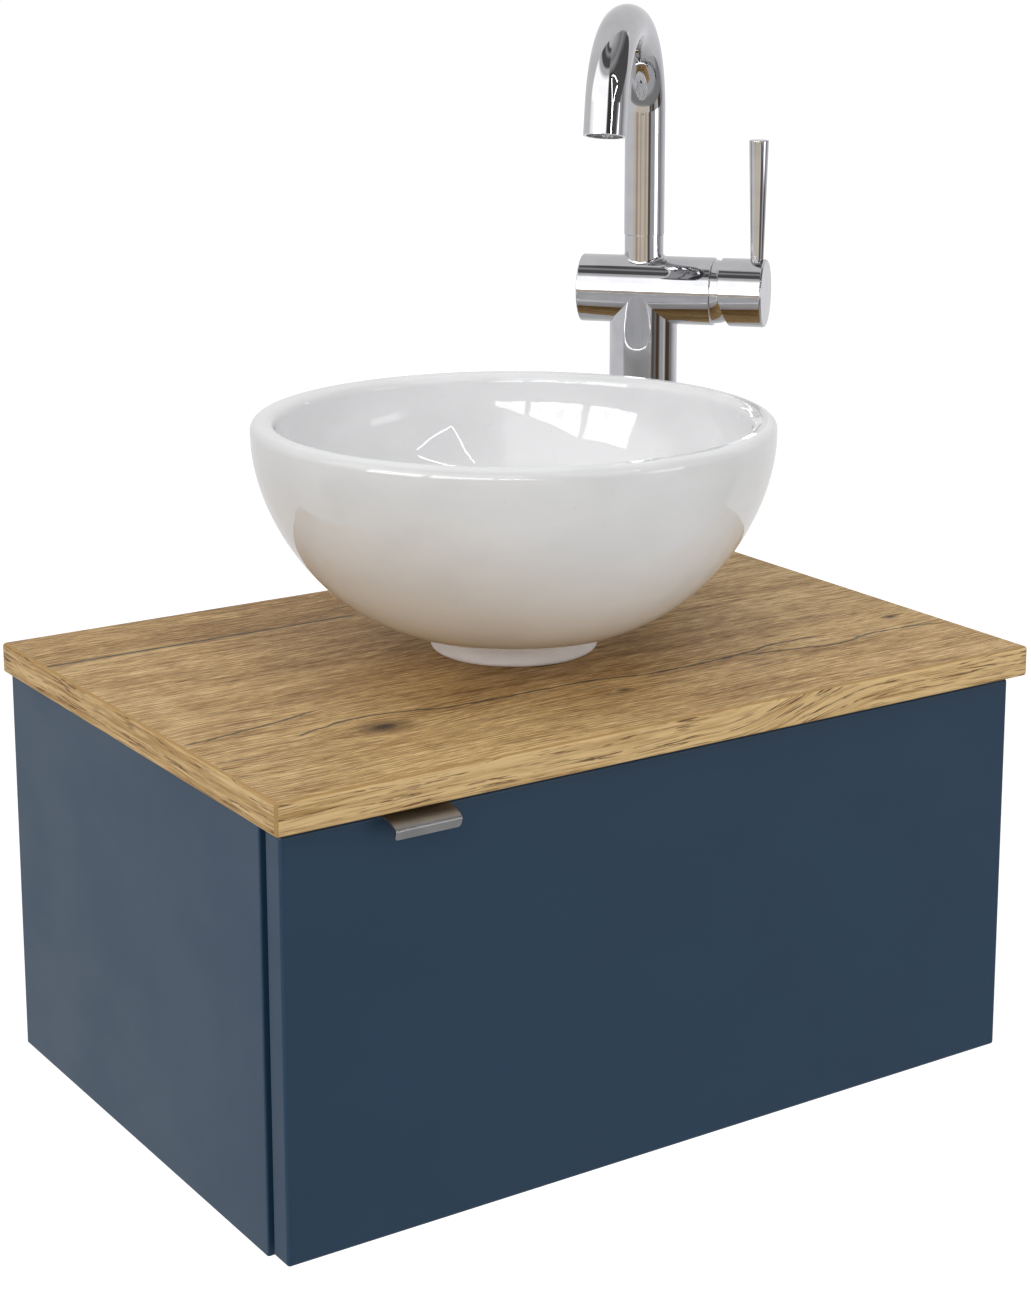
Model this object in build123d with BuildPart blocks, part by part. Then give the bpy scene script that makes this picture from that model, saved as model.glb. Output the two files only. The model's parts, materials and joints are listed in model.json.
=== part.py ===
"""Wall-hung wash stand: a one-door cabinet with a wood-look top, a round vessel basin and a tall mixer tap.

Frame: X along the front (right is +X), Y towards the wall, Z up.  The origin is at the bottom
centre of the whole stand, so Z is zero at the underside of the cabinet.
"""

import os
from math import cos, radians, sin, sqrt

from build123d import *

os.makedirs("parts", exist_ok=True)

# ---------------------------------------------------------------- driving sizes (mm)
# Top
counter_width = 500.0
counter_depth = 340.0
counter_thickness = 18.0
band_thickness = 2.0
counter_edge_radius = 1.9

# Cabinet
cabinet_height = 236.0
board = 16.0
side_overhang = 5.0
panel_edge_radius = 1.0
top_rail_width = 60.0
back_rail_height = 90.0
dowel_inset = 40.0
rail_dowel_inset = 15.0

# Door
door_thickness = 16.0
door_setback = 9.0
door_gap = 3.0
door_side_inset = 1.5
door_top_gap = 3.0
door_bottom_rise = 1.5
door_edge_radius = 2.0
bumper_radius = 4.0
bumper_inset = 8.0

# Handle: a bent strip let into the top and the back of the door
handle_length = 39.0
handle_inset = 58.0
handle_thickness = 1.6
handle_projection = 5.5
handle_bow_radius = 25.0
handle_bow_angle = 30.0
handle_nose_radius = 2.2
handle_lip_angle = 110.0
handle_lip = 4.0
handle_end_radius = 2.0
handle_tab = 22.0
handle_screw_spacing = 22.0

# Concealed hinges
hinge_end_distance = 55.0
cup_radius = 17.5
cup_depth = 12.0
cup_wall = 1.0
cup_edge_distance = 21.5
cup_flange_thickness = 1.2
cup_flange_height = 58.0
cup_flange_width = 20.0
cup_flange_margin = 1.0
cup_screw_inset = 6.0
cup_pin_offset = 11.0
cup_pin_depth = 3.75
arm_pin_inset = 31.0
arm_pin_depth = 3.25
hinge_pin_radius = 1.5
link_half_height = 8.0
link_thickness = 2.0
link_knuckle_radius = 2.8
arm_half_height = 10.0
arm_nose_radius = 4.0
arm_slot_radius = 7.5
arm_slot_margin = 0.3
arm_shoulder = 2.0
arm_foot_thickness = 9.0
plate_setback = 37.0
plate_ridge_height = 9.0
plate_ridge_length = 32.0
plate_ridge_half_height = 8.0
plate_wing_thickness = 3.0
plate_wing_width = 12.0
plate_wing_height = 52.0
plate_screw_inset = 6.0
link_arm_bend = (11.0, -2.0)
link_cup_bend = (-14.0, -3.5)

# Fasteners
dowel_radius = 4.0
dowel_length = 30.0
dowel_depth_in_side = 10.0
screw_radius = 1.75
screw_head_radius = 3.5
screw_head_height = 1.4
plate_screw_length = 13.0
cup_screw_length = 11.0
handle_screw_length = 10.0
counter_screw_radius = 2.0
counter_screw_head_radius = 4.0
counter_screw_length = 28.0
bracket_screw_length = 14.0
counter_screw_spacing = 320.0

# Cabinet hangers and wall plates
hanger_width = 18.0
hanger_depth = 34.0
hanger_height = 46.0
hanger_top_gap = 14.0
hanger_wall_gap = 19.0
hanger_peg_radius = 5.0
hanger_peg_length = 11.0
hanger_peg_spacing = 28.0
hanger_edge_radius = 2.0
hanger_notch_gap = 2.0
hook_thickness = 2.5
hook_width = 12.0
hook_drop = 9.0
wall_plate_thickness = 2.0
wall_plate_width = 44.0
wall_plate_height = 24.0
wall_plate_gap = 7.0
wall_plate_lip = 10.0
wall_plate_side_gap = 1.0
wall_screw_hole_radius = 3.5
bracket_leg = 30.0
bracket_thickness = 2.5
bracket_width = 20.0
bracket_setback = 100.0

# Vessel basin
basin_radius = 152.2
basin_height = 137.8
basin_wall = 14.0
basin_rim_radius = 5.6
basin_floor = 14.0
basin_straight_rim = 2.2
drain_recess_gap = 0.5
foot_radius = 49.0
foot_height = 12.0
foot_wall = 11.0
foot_edge_radius = 3.0
foot_seal_width = 5.0
foot_seal_thickness = 1.0

# Waste and bottle trap
drain_flange_radius = 32.0
drain_flange_thickness = 3.0
drain_thread_radius = 20.9
drain_wall = 3.9
drain_length = 88.0
drain_guide_length = 12.0
drain_guide_wall = 3.0
drain_rib = 3.0
drain_hole_gap = 2.1
counter_drain_hole_gap = 4.1
drain_washer_overlap = 9.0
drain_washer_thickness = 3.0
drain_nut_wall = 11.1
drain_nut_height = 12.0
plug_inset = 1.5
plug_thickness = 4.5
plug_crown = 1.8
plug_stem_radius = 4.0
plug_stem_length = 44.0
plug_seat_gap = 0.4
pipe_radius = 16.0
pipe_wall = 1.5
tail_insert = 20.0
neck_wall = 4.0
neck_length = 10.0
slip_nut_wall = 3.5
slip_nut_lip = 4.0
slip_nut_height = 14.0
trap_radius = 28.0
trap_wall = 2.5
trap_body_height = 62.0
trap_cup_height = 44.0
trap_cup_overlap = 14.0
trap_dip_clearance = 22.0
trap_drop = 60.0
trap_branch_length = 44.0
trap_branch_drop = 24.0
rosette_radius = 34.0
rosette_thickness = 7.0

# Mixer tap
mixer_side_distance = 70.0
mixer_back_distance = 50.0
spout_angle = 222.0
mixer_radius = 22.0
mixer_wall = 4.0
barrel_height = 182.5
barrel_back = 40.5
barrel_front = 47.0
barrel_edge_radius = 1.0
chamber_length = 35.0
column_roof = 6.0
collar_step = 0.4
collar_height = 14.0
collar_fillet = 2.0
collar_bore_gap = 1.7
water_way_radius = 7.0
spout_radius = 13.0
spout_wall = 2.0
spout_seam = 0.3
spout_rise = 78.2
spout_bend_radius = 57.4
spout_sweep = 167.0
spout_end_length = 19.2
spout_tail_step = 3.0
spout_tail_wall = 3.0
spout_tail_length = 18.0
seal_radius = 0.8
seal_spacing = 6.0
aerator_length = 9.0
aerator_recess = 1.5
aerator_hole_radius = 0.8
aerator_hole_spacing = 2.9
cartridge_gap = 0.5
cartridge_port_share = 0.55
cartridge_length = 27.0
cartridge_bottom_gap = 0.5
cartridge_nut_length = 4.5
cartridge_nut_bore = 13.0
dome_step = 1.4
dome_wall = 3.5
dome_opening = 13.0
dome_skirt_length = 3.0
dome_skirt_wall = 2.0
rotor_radius = 10.25
rotor_length = 26.0
rotor_nose = 5.0
rotor_slot_depth = 16.0
rotor_pin_radius = 2.0
hub_gap = 5.1
hub_end = 80.3
hub_edge_radius = 1.5
hub_relief_run = 6.1
hub_clearance = 0.5
stem_size = 8.0
stem_tail = 7.0
stem_end = 76.0
rod_position = 74.0
rod_length = 76.1
rod_top_radius = 6.3
rod_base_radius = 4.2
rod_edge_radius = 0.6
rod_seat = 3.0
rod_stud_radius = 2.5
rod_stud_length = 6.0
lever_screw_radius = 2.5
lever_screw_length = 8.0
lever_screw_position = 71.5
shank_radius = 16.0
shank_drop = 60.0
shank_plug_height = 12.0
inlet_radius = 4.5
inlet_depth = 40.0
inlet_spacing = 15.0
inlet_shoulder = 1.5
counter_mixer_hole_gap = 1.5
mixer_washer_overlap = 6.5
mixer_washer_thickness = 3.0
mixer_nut_wall = 7.0
mixer_nut_height = 9.0

# Fits
running_clearance = 0.05
loose_clearance = 0.1
hole_clearance = 0.5
past_face = 1.0

# ---------------------------------------------------------------- places that follow
half_counter = counter_width / 2
back_y = (counter_depth + handle_projection) / 2
counter_front_y = back_y - counter_depth
counter_top = cabinet_height + counter_thickness
carcass_half = half_counter - side_overhang
inner_half = carcass_half - board
door_half = carcass_half - door_side_inset
door_front_y = counter_front_y + door_setback
door_back_y = door_front_y + door_thickness
carcass_front_y = door_back_y + door_gap
door_top = cabinet_height - door_top_gap
hinge_heights = (door_bottom_rise + hinge_end_distance, door_top - hinge_end_distance)
cup_x = door_half - cup_edge_distance
cup_pin = (cup_x + cup_pin_offset, door_back_y - cup_pin_depth)
arm_pin = (inner_half - arm_pin_inset, carcass_front_y + arm_pin_depth)
plate_y = carcass_front_y + plate_setback

basin_y = counter_front_y + counter_depth / 2
basin_rim_z = counter_top + basin_height
basin_base_z = counter_top + foot_height
basin_floor_z = basin_base_z + basin_floor
drain_bottom_z = basin_floor_z - drain_length
drain_bore_radius = drain_thread_radius - drain_wall
drain_hole_radius = drain_thread_radius + drain_hole_gap
counter_drain_hole_radius = drain_thread_radius + counter_drain_hole_gap
trap_top_z = drain_bottom_z - trap_drop
trap_bottom_z = trap_top_z - trap_body_height
trap_cup_top = trap_bottom_z + trap_cup_overlap
trap_cup_bottom = trap_cup_top - trap_cup_height
branch_z = trap_top_z - trap_branch_drop

mixer_x = half_counter - mixer_side_distance
mixer_y = back_y - mixer_back_distance
chamber_radius = mixer_radius - mixer_wall
column_bore_radius = mixer_radius - mixer_wall
spout_tail_radius = spout_radius - spout_tail_step
collar_radius = spout_radius - collar_step
counter_mixer_hole_radius = shank_radius + counter_mixer_hole_gap
barrel_z = counter_top + barrel_height
lever_angle = spout_angle + 90.0
lever_direction = Vector(cos(radians(lever_angle)), sin(radians(lever_angle)), 0)
spout_direction = Vector(cos(radians(spout_angle)), sin(radians(spout_angle)), 0)
collar_top_z = barrel_z + mixer_radius + collar_height
barrel_plane = Plane(origin=(mixer_x, mixer_y, barrel_z), x_dir=(0, 0, 1), z_dir=lever_direction)


def save(builder, node):
    """Label a finished piece and write it as its own node."""
    builder.part.label = node
    export_step(builder.part, f"parts/{node}.step")


def block(x_low, x_high, y_low, y_high, z_low, z_high, mode=Mode.ADD):
    """Box between two corners, in the piece being built."""
    with Locations(((x_low + x_high) / 2, (y_low + y_high) / 2, (z_low + z_high) / 2)):
        Box(x_high - x_low, y_high - y_low, z_high - z_low, mode=mode)


def post(x, y, z_low, z_high, radius, mode=Mode.ADD):
    """Upright round bar between two heights, in the piece being built."""
    with Locations((x, y, (z_low + z_high) / 2)):
        Cylinder(radius, z_high - z_low, mode=mode)


def bar_x(x_low, x_high, y, z, radius, mode=Mode.ADD):
    """Round bar along X, in the piece being built."""
    with Locations(((x_low + x_high) / 2, y, z)):
        Cylinder(radius, x_high - x_low, rotation=(0, 90, 0), mode=mode)


def bar_y(x, y_low, y_high, z, radius, mode=Mode.ADD):
    """Round bar along Y, in the piece being built."""
    with Locations((x, (y_low + y_high) / 2, z)):
        Cylinder(radius, y_high - y_low, rotation=(90, 0, 0), mode=mode)


def barrel_point(along, up=0.0):
    """Point on the barrel's upright middle plane, at a distance along it and a height above its axis."""
    return barrel_plane.origin + lever_direction * along + Vector(0, 0, up)


def tube(x, y, z_low, z_high, outer, inner):
    """Upright tube, in the piece being built."""
    post(x, y, z_low, z_high, outer)
    post(x, y, z_low, z_high, inner, mode=Mode.SUBTRACT)


# ---------------------------------------------------------------- top
basin_hole = (0, basin_y)
mixer_hole = (mixer_x, mixer_y)
counter_screw_y = carcass_front_y + top_rail_width / 2
bracket_y = back_y - bracket_setback
bracket_x = inner_half - bracket_leg / 2
rail_screws = [
    (side * counter_screw_spacing / 2, counter_screw_y, cabinet_height - board, counter_screw_length)
    for side in (-1, 1)
]
bracket_screws = [
    (side * bracket_x, bracket_y, cabinet_height - bracket_thickness, bracket_screw_length)
    for side in (-1, 1)
]

with BuildPart() as slab:
    block(-half_counter, half_counter, counter_front_y, back_y, cabinet_height, counter_top)
    wall_edges = slab.faces().sort_by(Axis.Y)[-1].edges()
    fillet([edge for edge in slab.edges() if edge not in wall_edges], counter_edge_radius)

core_half = half_counter - band_thickness
core_front_y = counter_front_y + band_thickness

with BuildPart() as countertop:
    add(slab.part)
    block(-core_half, core_half, core_front_y, back_y, cabinet_height, counter_top, mode=Mode.INTERSECT)
    post(*basin_hole, cabinet_height, counter_top, counter_drain_hole_radius, mode=Mode.SUBTRACT)
    post(*mixer_hole, cabinet_height, counter_top, counter_mixer_hole_radius, mode=Mode.SUBTRACT)
    for x, y, head_z, length in rail_screws + bracket_screws:
        post(x, y, cabinet_height, head_z + length + hole_clearance, counter_screw_radius + loose_clearance,
             mode=Mode.SUBTRACT)
save(countertop, "countertop")

with BuildPart() as edge_band_front:
    add(slab.part)
    block(-half_counter, half_counter, counter_front_y, core_front_y, cabinet_height, counter_top,
          mode=Mode.INTERSECT)
save(edge_band_front, "edge_band_front")

for side, node in ((-1, "edge_band_left"), (1, "edge_band_right")):
    with BuildPart() as edge_band:
        add(slab.part)
        block(min(side * half_counter, side * core_half), max(side * half_counter, side * core_half),
              core_front_y, back_y, cabinet_height, counter_top, mode=Mode.INTERSECT)
    save(edge_band, node)

# ---------------------------------------------------------------- carcass
bottom_dowels = [(carcass_front_y + dowel_inset, board / 2), (back_y - dowel_inset, board / 2)]
top_rail_dowels = [
    (carcass_front_y + rail_dowel_inset, cabinet_height - board / 2),
    (carcass_front_y + top_rail_width - rail_dowel_inset, cabinet_height - board / 2),
]
back_rail_bottom = cabinet_height - back_rail_height
hanger_notch = hanger_top_gap + hanger_height + hanger_notch_gap
back_rail_dowels = [(back_y - board / 2, back_rail_bottom + (back_rail_height - hanger_notch) / 2)]


def dowel_holes(places):
    """Blind dowel holes across both inner faces of the side panels, cut from the piece being built."""
    reach_in = dowel_length - dowel_depth_in_side + hole_clearance
    reach_out = dowel_depth_in_side + hole_clearance
    for side in (-1, 1):
        ends = sorted((side * (inner_half - reach_in), side * (inner_half + reach_out)))
        for y, z in places:
            bar_x(ends[0], ends[1], y, z, dowel_radius + running_clearance, mode=Mode.SUBTRACT)


hanger_y = back_y - hanger_wall_gap - hanger_depth / 2
hanger_top = cabinet_height - hanger_top_gap
hanger_z = hanger_top - hanger_height / 2
hanger_peg_heights = [hanger_z + offset * hanger_peg_spacing / 2 for offset in (-1, 1)]
plate_screw_offset = plate_wing_height / 2 - plate_screw_inset

for side, node in ((-1, "side_panel_left"), (1, "side_panel_right")):
    ends = sorted((side * inner_half, side * carcass_half))
    with BuildPart() as side_panel:
        block(*ends, carcass_front_y, back_y, 0, cabinet_height)
        fillet(side_panel.faces().sort_by(Axis.Y)[0].edges().filter_by(Axis.Z), panel_edge_radius)
        dowel_holes(bottom_dowels + top_rail_dowels + back_rail_dowels)
        peg_ends = sorted((side * inner_half, side * (inner_half + hanger_peg_length + hole_clearance)))
        for peg_z in hanger_peg_heights:
            bar_x(*peg_ends, hanger_y, peg_z, hanger_peg_radius + running_clearance, mode=Mode.SUBTRACT)
        if side > 0:
            for hinge_z in hinge_heights:
                for offset in (-plate_screw_offset, plate_screw_offset):
                    bar_x(inner_half, inner_half + plate_screw_length - plate_wing_thickness + hole_clearance,
                          plate_y, hinge_z + offset, screw_radius + loose_clearance, mode=Mode.SUBTRACT)
    save(side_panel, node)

with BuildPart() as bottom_panel:
    block(-inner_half, inner_half, carcass_front_y, back_y, 0, board)
    dowel_holes(bottom_dowels)
save(bottom_panel, "bottom_panel")

with BuildPart() as top_rail:
    block(-inner_half, inner_half, carcass_front_y, carcass_front_y + top_rail_width,
          cabinet_height - board, cabinet_height)
    dowel_holes(top_rail_dowels)
    for x, y, head_z, _ in rail_screws:
        post(x, y, head_z, cabinet_height, counter_screw_radius + loose_clearance, mode=Mode.SUBTRACT)
save(top_rail, "top_rail")

notch_half = inner_half - wall_plate_width - wall_plate_side_gap - hanger_notch_gap
with BuildPart() as back_rail:
    block(-inner_half, inner_half, back_y - board, back_y, back_rail_bottom, cabinet_height)
    for side in (-1, 1):
        ends = sorted((side * notch_half, side * inner_half))
        block(*ends, back_y - board, back_y, cabinet_height - hanger_notch, cabinet_height,
              mode=Mode.SUBTRACT)
    dowel_holes(back_rail_dowels)
save(back_rail, "back_rail")

with BuildPart() as carcass_dowels:
    for side in (-1, 1):
        ends = sorted((side * (inner_half - dowel_length + dowel_depth_in_side),
                       side * (inner_half + dowel_depth_in_side)))
        for y, z in bottom_dowels + top_rail_dowels + back_rail_dowels:
            bar_x(*ends, y, z, dowel_radius)
save(carcass_dowels, "carcass_dowels")

with BuildPart() as counter_brackets:
    for side in (-1, 1):
        wall_leg = sorted((side * inner_half, side * (inner_half - bracket_thickness)))
        top_leg = sorted((side * inner_half, side * (inner_half - bracket_leg)))
        y_ends = (bracket_y - bracket_width / 2, bracket_y + bracket_width / 2)
        block(*wall_leg, *y_ends, cabinet_height - bracket_leg, cabinet_height)
        block(*top_leg, *y_ends, cabinet_height - bracket_thickness, cabinet_height)
        post(side * bracket_x, bracket_y, cabinet_height - bracket_thickness, cabinet_height,
             counter_screw_radius + loose_clearance, mode=Mode.SUBTRACT)
save(counter_brackets, "counter_brackets")

with BuildPart() as counter_screws:
    for x, y, head_z, length in rail_screws + bracket_screws:
        post(x, y, head_z - screw_head_height, head_z, counter_screw_head_radius)
        post(x, y, head_z, head_z + length, counter_screw_radius)
save(counter_screws, "counter_screws")

# ---------------------------------------------------------------- hangers and wall plates
lip_front_y = back_y - wall_plate_thickness - wall_plate_gap
lip_back_y = lip_front_y + wall_plate_thickness
wall_plate_bottom = hanger_top - hanger_height
lip_top = wall_plate_bottom + wall_plate_height + wall_plate_lip
hook_back_y = (lip_back_y + back_y) / 2 + hook_thickness / 2
hook_bottom_z = lip_top + loose_clearance

for side, node in ((-1, "hanger_left"), (1, "hanger_right")):
    ends = sorted((side * inner_half, side * (inner_half - hanger_width)))
    peg_ends = sorted((side * inner_half, side * (inner_half + hanger_peg_length)))
    hook_x = side * (inner_half - hanger_width / 2)
    with BuildPart() as hanger:
        block(*ends, hanger_y - hanger_depth / 2, hanger_y + hanger_depth / 2, hanger_top - hanger_height,
              hanger_top)
        fillet(hanger.edges().filter_by(Axis.X), hanger_edge_radius)
        for peg_z in hanger_peg_heights:
            bar_x(*peg_ends, hanger_y, peg_z, hanger_peg_radius)
        block(hook_x - hook_width / 2, hook_x + hook_width / 2, hanger_y, hook_back_y, hook_bottom_z,
              hook_bottom_z + hook_thickness)
        block(hook_x - hook_width / 2, hook_x + hook_width / 2, hook_back_y - hook_thickness, hook_back_y,
              hook_bottom_z - hook_drop, hook_bottom_z)
    save(hanger, node)

with BuildPart() as wall_plates:
    for side in (-1, 1):
        near = inner_half - wall_plate_side_gap
        ends = sorted((side * near, side * (near - wall_plate_width)))
        bend_z = wall_plate_bottom + wall_plate_height
        block(*ends, back_y - wall_plate_thickness, back_y, wall_plate_bottom, bend_z)
        block(*ends, lip_front_y, back_y, bend_z - wall_plate_thickness, bend_z)
        block(*ends, lip_front_y, lip_back_y, bend_z, lip_top)
        bar_y(side * (near - wall_plate_width / 2), back_y - wall_plate_thickness, back_y,
              bend_z - (wall_plate_height + wall_plate_thickness) / 2, wall_screw_hole_radius,
              mode=Mode.SUBTRACT)
save(wall_plates, "wall_plates")

# ---------------------------------------------------------------- door
handle_left = -door_half + handle_inset
handle_right = handle_left + handle_length
handle_mid = (handle_left + handle_right) / 2
handle_screw_z = door_top - handle_thickness - handle_tab / 2
handle_screw_xs = [handle_mid + offset * handle_screw_spacing / 2 for offset in (-1, 1)]
cup_screw_offset = cup_flange_height / 2 - cup_screw_inset
cup_screw_heights = [z + side * cup_screw_offset for z in hinge_heights for side in (-1, 1)]

with BuildPart() as door_panel:
    block(-door_half, door_half, door_front_y, door_back_y, door_bottom_rise, door_top)
    fillet(door_panel.edges(), door_edge_radius)
    block(handle_left - loose_clearance, handle_right + loose_clearance, door_front_y - past_face,
          door_back_y + past_face, door_top - handle_thickness, door_top + past_face, mode=Mode.SUBTRACT)
    block(handle_left - loose_clearance, handle_right + loose_clearance, door_back_y - handle_thickness,
          door_back_y + past_face, door_top - handle_tab - loose_clearance, door_top, mode=Mode.SUBTRACT)
    for x in handle_screw_xs:
        bar_y(x, door_back_y - handle_screw_length - hole_clearance, door_back_y, handle_screw_z,
              screw_radius + loose_clearance, mode=Mode.SUBTRACT)
    for hinge_z in hinge_heights:
        bar_y(cup_x, door_back_y - cup_depth, door_back_y, hinge_z, cup_radius + running_clearance,
              mode=Mode.SUBTRACT)
    for screw_z in cup_screw_heights:
        bar_y(cup_x, door_back_y - cup_screw_length, door_back_y, screw_z, screw_radius + loose_clearance,
              mode=Mode.SUBTRACT)
save(door_panel, "door_panel")

nose_y = counter_front_y - handle_projection + handle_nose_radius
bow_y = nose_y + (handle_bow_radius - handle_nose_radius) * sin(radians(handle_bow_angle))
bow_centre = Vector(bow_y, door_top - handle_bow_radius)
nose_z = bow_centre.Y + (handle_bow_radius - handle_nose_radius) * cos(radians(handle_bow_angle))
nose_centre = Vector(nose_y, nose_z)
bow_inner_radius = handle_bow_radius - handle_thickness
nose_inner_radius = handle_nose_radius - handle_thickness
nose_turn = handle_lip_angle - handle_bow_angle
nose_end = radians(90 + handle_lip_angle)
nose_end_direction = Vector(cos(nose_end), sin(nose_end))
lip_run = Vector(-sin(nose_end), cos(nose_end)) * handle_lip

with BuildPart() as door_handle:
    with BuildSketch(Plane.YZ.offset(handle_left)):
        with BuildLine():
            outer_end = nose_centre + nose_end_direction * handle_nose_radius
            inner_end = nose_centre + nose_end_direction * nose_inner_radius
            Line((door_back_y, door_top), (bow_y, door_top))
            CenterArc(bow_centre, handle_bow_radius, 90, handle_bow_angle)
            CenterArc(nose_centre, handle_nose_radius, 90 + handle_bow_angle, nose_turn)
            Polyline(outer_end, outer_end + lip_run, inner_end + lip_run, inner_end)
            CenterArc(nose_centre, nose_inner_radius, 90 + handle_bow_angle, nose_turn)
            CenterArc(bow_centre, bow_inner_radius, 90, handle_bow_angle)
            Polyline((bow_y, door_top - handle_thickness),
                     (door_back_y - handle_thickness, door_top - handle_thickness),
                     (door_back_y - handle_thickness, door_top - handle_tab),
                     (door_back_y, door_top - handle_tab), (door_back_y, door_top))
        make_face()
    extrude(amount=handle_length)
    # The strip's two ends have its four shortest straight edges; the lip's corners are the front pair
    end_edges = door_handle.edges().filter_by(GeomType.LINE).sort_by(SortBy.LENGTH)[:4]
    fillet(end_edges.sort_by(Axis.Y)[:2], handle_end_radius)
    for x in handle_screw_xs:
        bar_y(x, door_back_y - handle_thickness, door_back_y, handle_screw_z, screw_radius + loose_clearance,
              mode=Mode.SUBTRACT)
save(door_handle, "door_handle")

with BuildPart() as handle_screws:
    for x in handle_screw_xs:
        bar_y(x, door_back_y - handle_screw_length, door_back_y, handle_screw_z, screw_radius)
        bar_y(x, door_back_y, door_back_y + screw_head_height, handle_screw_z, screw_head_radius)
save(handle_screws, "handle_screws")

bumper_x = -(inner_half + carcass_half) / 2
bumper_end_distance = bumper_inset + bumper_radius
with BuildPart() as door_bumpers:
    for bumper_z in (door_bottom_rise + bumper_end_distance, door_top - bumper_end_distance):
        bar_y(bumper_x, door_back_y, carcass_front_y - loose_clearance, bumper_z, bumper_radius)
save(door_bumpers, "door_bumpers")

# ---------------------------------------------------------------- concealed hinges
cup_outer_y = door_back_y + cup_flange_thickness
cup_pin_half = sqrt(cup_radius ** 2 - (cup_pin_offset + hinge_pin_radius) ** 2) - loose_clearance

with BuildPart() as hinge_cups:
    for hinge_z in hinge_heights:
        bar_y(cup_x, door_back_y - cup_depth, cup_outer_y, hinge_z, cup_radius)
        bar_y(cup_x, door_back_y, cup_outer_y, hinge_z, cup_radius + cup_flange_margin)
        block(cup_x - cup_flange_width / 2, cup_x + cup_flange_width / 2, door_back_y, cup_outer_y,
              hinge_z - cup_flange_height / 2, hinge_z + cup_flange_height / 2)
        bar_y(cup_x, door_back_y - cup_depth + cup_wall, cup_outer_y, hinge_z, cup_radius - cup_wall,
              mode=Mode.SUBTRACT)
        post(*cup_pin, hinge_z - cup_pin_half, hinge_z + cup_pin_half, hinge_pin_radius + running_clearance,
             mode=Mode.SUBTRACT)
    for screw_z in cup_screw_heights:
        bar_y(cup_x, door_back_y, cup_outer_y, screw_z, screw_radius + loose_clearance, mode=Mode.SUBTRACT)
save(hinge_cups, "hinge_cups")

with BuildPart() as hinge_cup_screws:
    for screw_z in cup_screw_heights:
        bar_y(cup_x, cup_outer_y - cup_screw_length, cup_outer_y, screw_z, screw_radius)
        bar_y(cup_x, cup_outer_y, cup_outer_y + screw_head_height, screw_z, screw_head_radius)
save(hinge_cup_screws, "hinge_cup_screws")

with BuildPart() as hinge_cup_pins:
    for hinge_z in hinge_heights:
        post(*cup_pin, hinge_z - cup_pin_half, hinge_z + cup_pin_half, hinge_pin_radius)
save(hinge_cup_pins, "hinge_cup_pins")

# Each link leaves the arm's pin, dips into the cup and ends on the cup's pin
link_points = [
    arm_pin,
    (arm_pin[0] + link_arm_bend[0], arm_pin[1] + link_arm_bend[1]),
    (cup_pin[0] + link_cup_bend[0], cup_pin[1] + link_cup_bend[1]),
    cup_pin,
]
with BuildPart() as hinge_links:
    for hinge_z in hinge_heights:
        with BuildSketch(Plane.XY.offset(hinge_z - link_half_height)):
            with BuildLine():
                Polyline(*link_points)
            trace(line_width=link_thickness)
            with Locations(*link_points[1:-1]):
                Circle(link_thickness / 2)
            with Locations(arm_pin, cup_pin):
                Circle(link_knuckle_radius)
                Circle(hinge_pin_radius + running_clearance, mode=Mode.SUBTRACT)
        extrude(amount=2 * link_half_height)
save(hinge_links, "hinge_links")

ridge_x = inner_half - plate_ridge_height
arm_foot_x = ridge_x - arm_foot_thickness
arm_front_y = plate_y - plate_ridge_length / 2
arm_rear_y = plate_y + plate_ridge_length / 2
nose_run = Vector((ridge_x + arm_foot_x) / 2 - arm_pin[0], arm_front_y - arm_pin[1]).normalized()
nose_side = Vector(nose_run.Y, -nose_run.X) * arm_nose_radius
arm_pin_point = Vector(*arm_pin)

with BuildPart() as hinge_arms:
    for hinge_z in hinge_heights:
        with BuildSketch(Plane.XY.offset(hinge_z - arm_half_height)):
            with BuildLine():
                Polyline((ridge_x, arm_rear_y), (ridge_x, arm_front_y - arm_shoulder),
                         arm_pin_point + nose_side, arm_pin_point - nose_side, (arm_foot_x, arm_front_y),
                         (arm_foot_x, arm_rear_y), close=True)
            make_face()
            with Locations(arm_pin):
                Circle(arm_nose_radius)
        extrude(amount=2 * arm_half_height)
        slot_half = link_half_height + arm_slot_margin
        post(*arm_pin, hinge_z - slot_half, hinge_z + slot_half, arm_slot_radius, mode=Mode.SUBTRACT)
        post(*arm_pin, hinge_z - arm_half_height, hinge_z + arm_half_height,
             hinge_pin_radius + running_clearance, mode=Mode.SUBTRACT)
save(hinge_arms, "hinge_arms")

with BuildPart() as hinge_arm_pins:
    for hinge_z in hinge_heights:
        post(*arm_pin, hinge_z - arm_half_height, hinge_z + arm_half_height, hinge_pin_radius)
save(hinge_arm_pins, "hinge_arm_pins")

with BuildPart() as hinge_plates:
    for hinge_z in hinge_heights:
        block(ridge_x, inner_half, arm_front_y, arm_rear_y, hinge_z - plate_ridge_half_height,
              hinge_z + plate_ridge_half_height)
        wing_ys = (plate_y - plate_wing_width / 2, plate_y + plate_wing_width / 2)
        wing_zs = (hinge_z - plate_wing_height / 2, hinge_z + plate_wing_height / 2)
        block(inner_half - plate_wing_thickness, inner_half, *wing_ys, *wing_zs)
        for offset in (-plate_screw_offset, plate_screw_offset):
            bar_x(inner_half - plate_wing_thickness, inner_half, plate_y, hinge_z + offset,
                  screw_radius + loose_clearance, mode=Mode.SUBTRACT)
save(hinge_plates, "hinge_plates")

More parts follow.
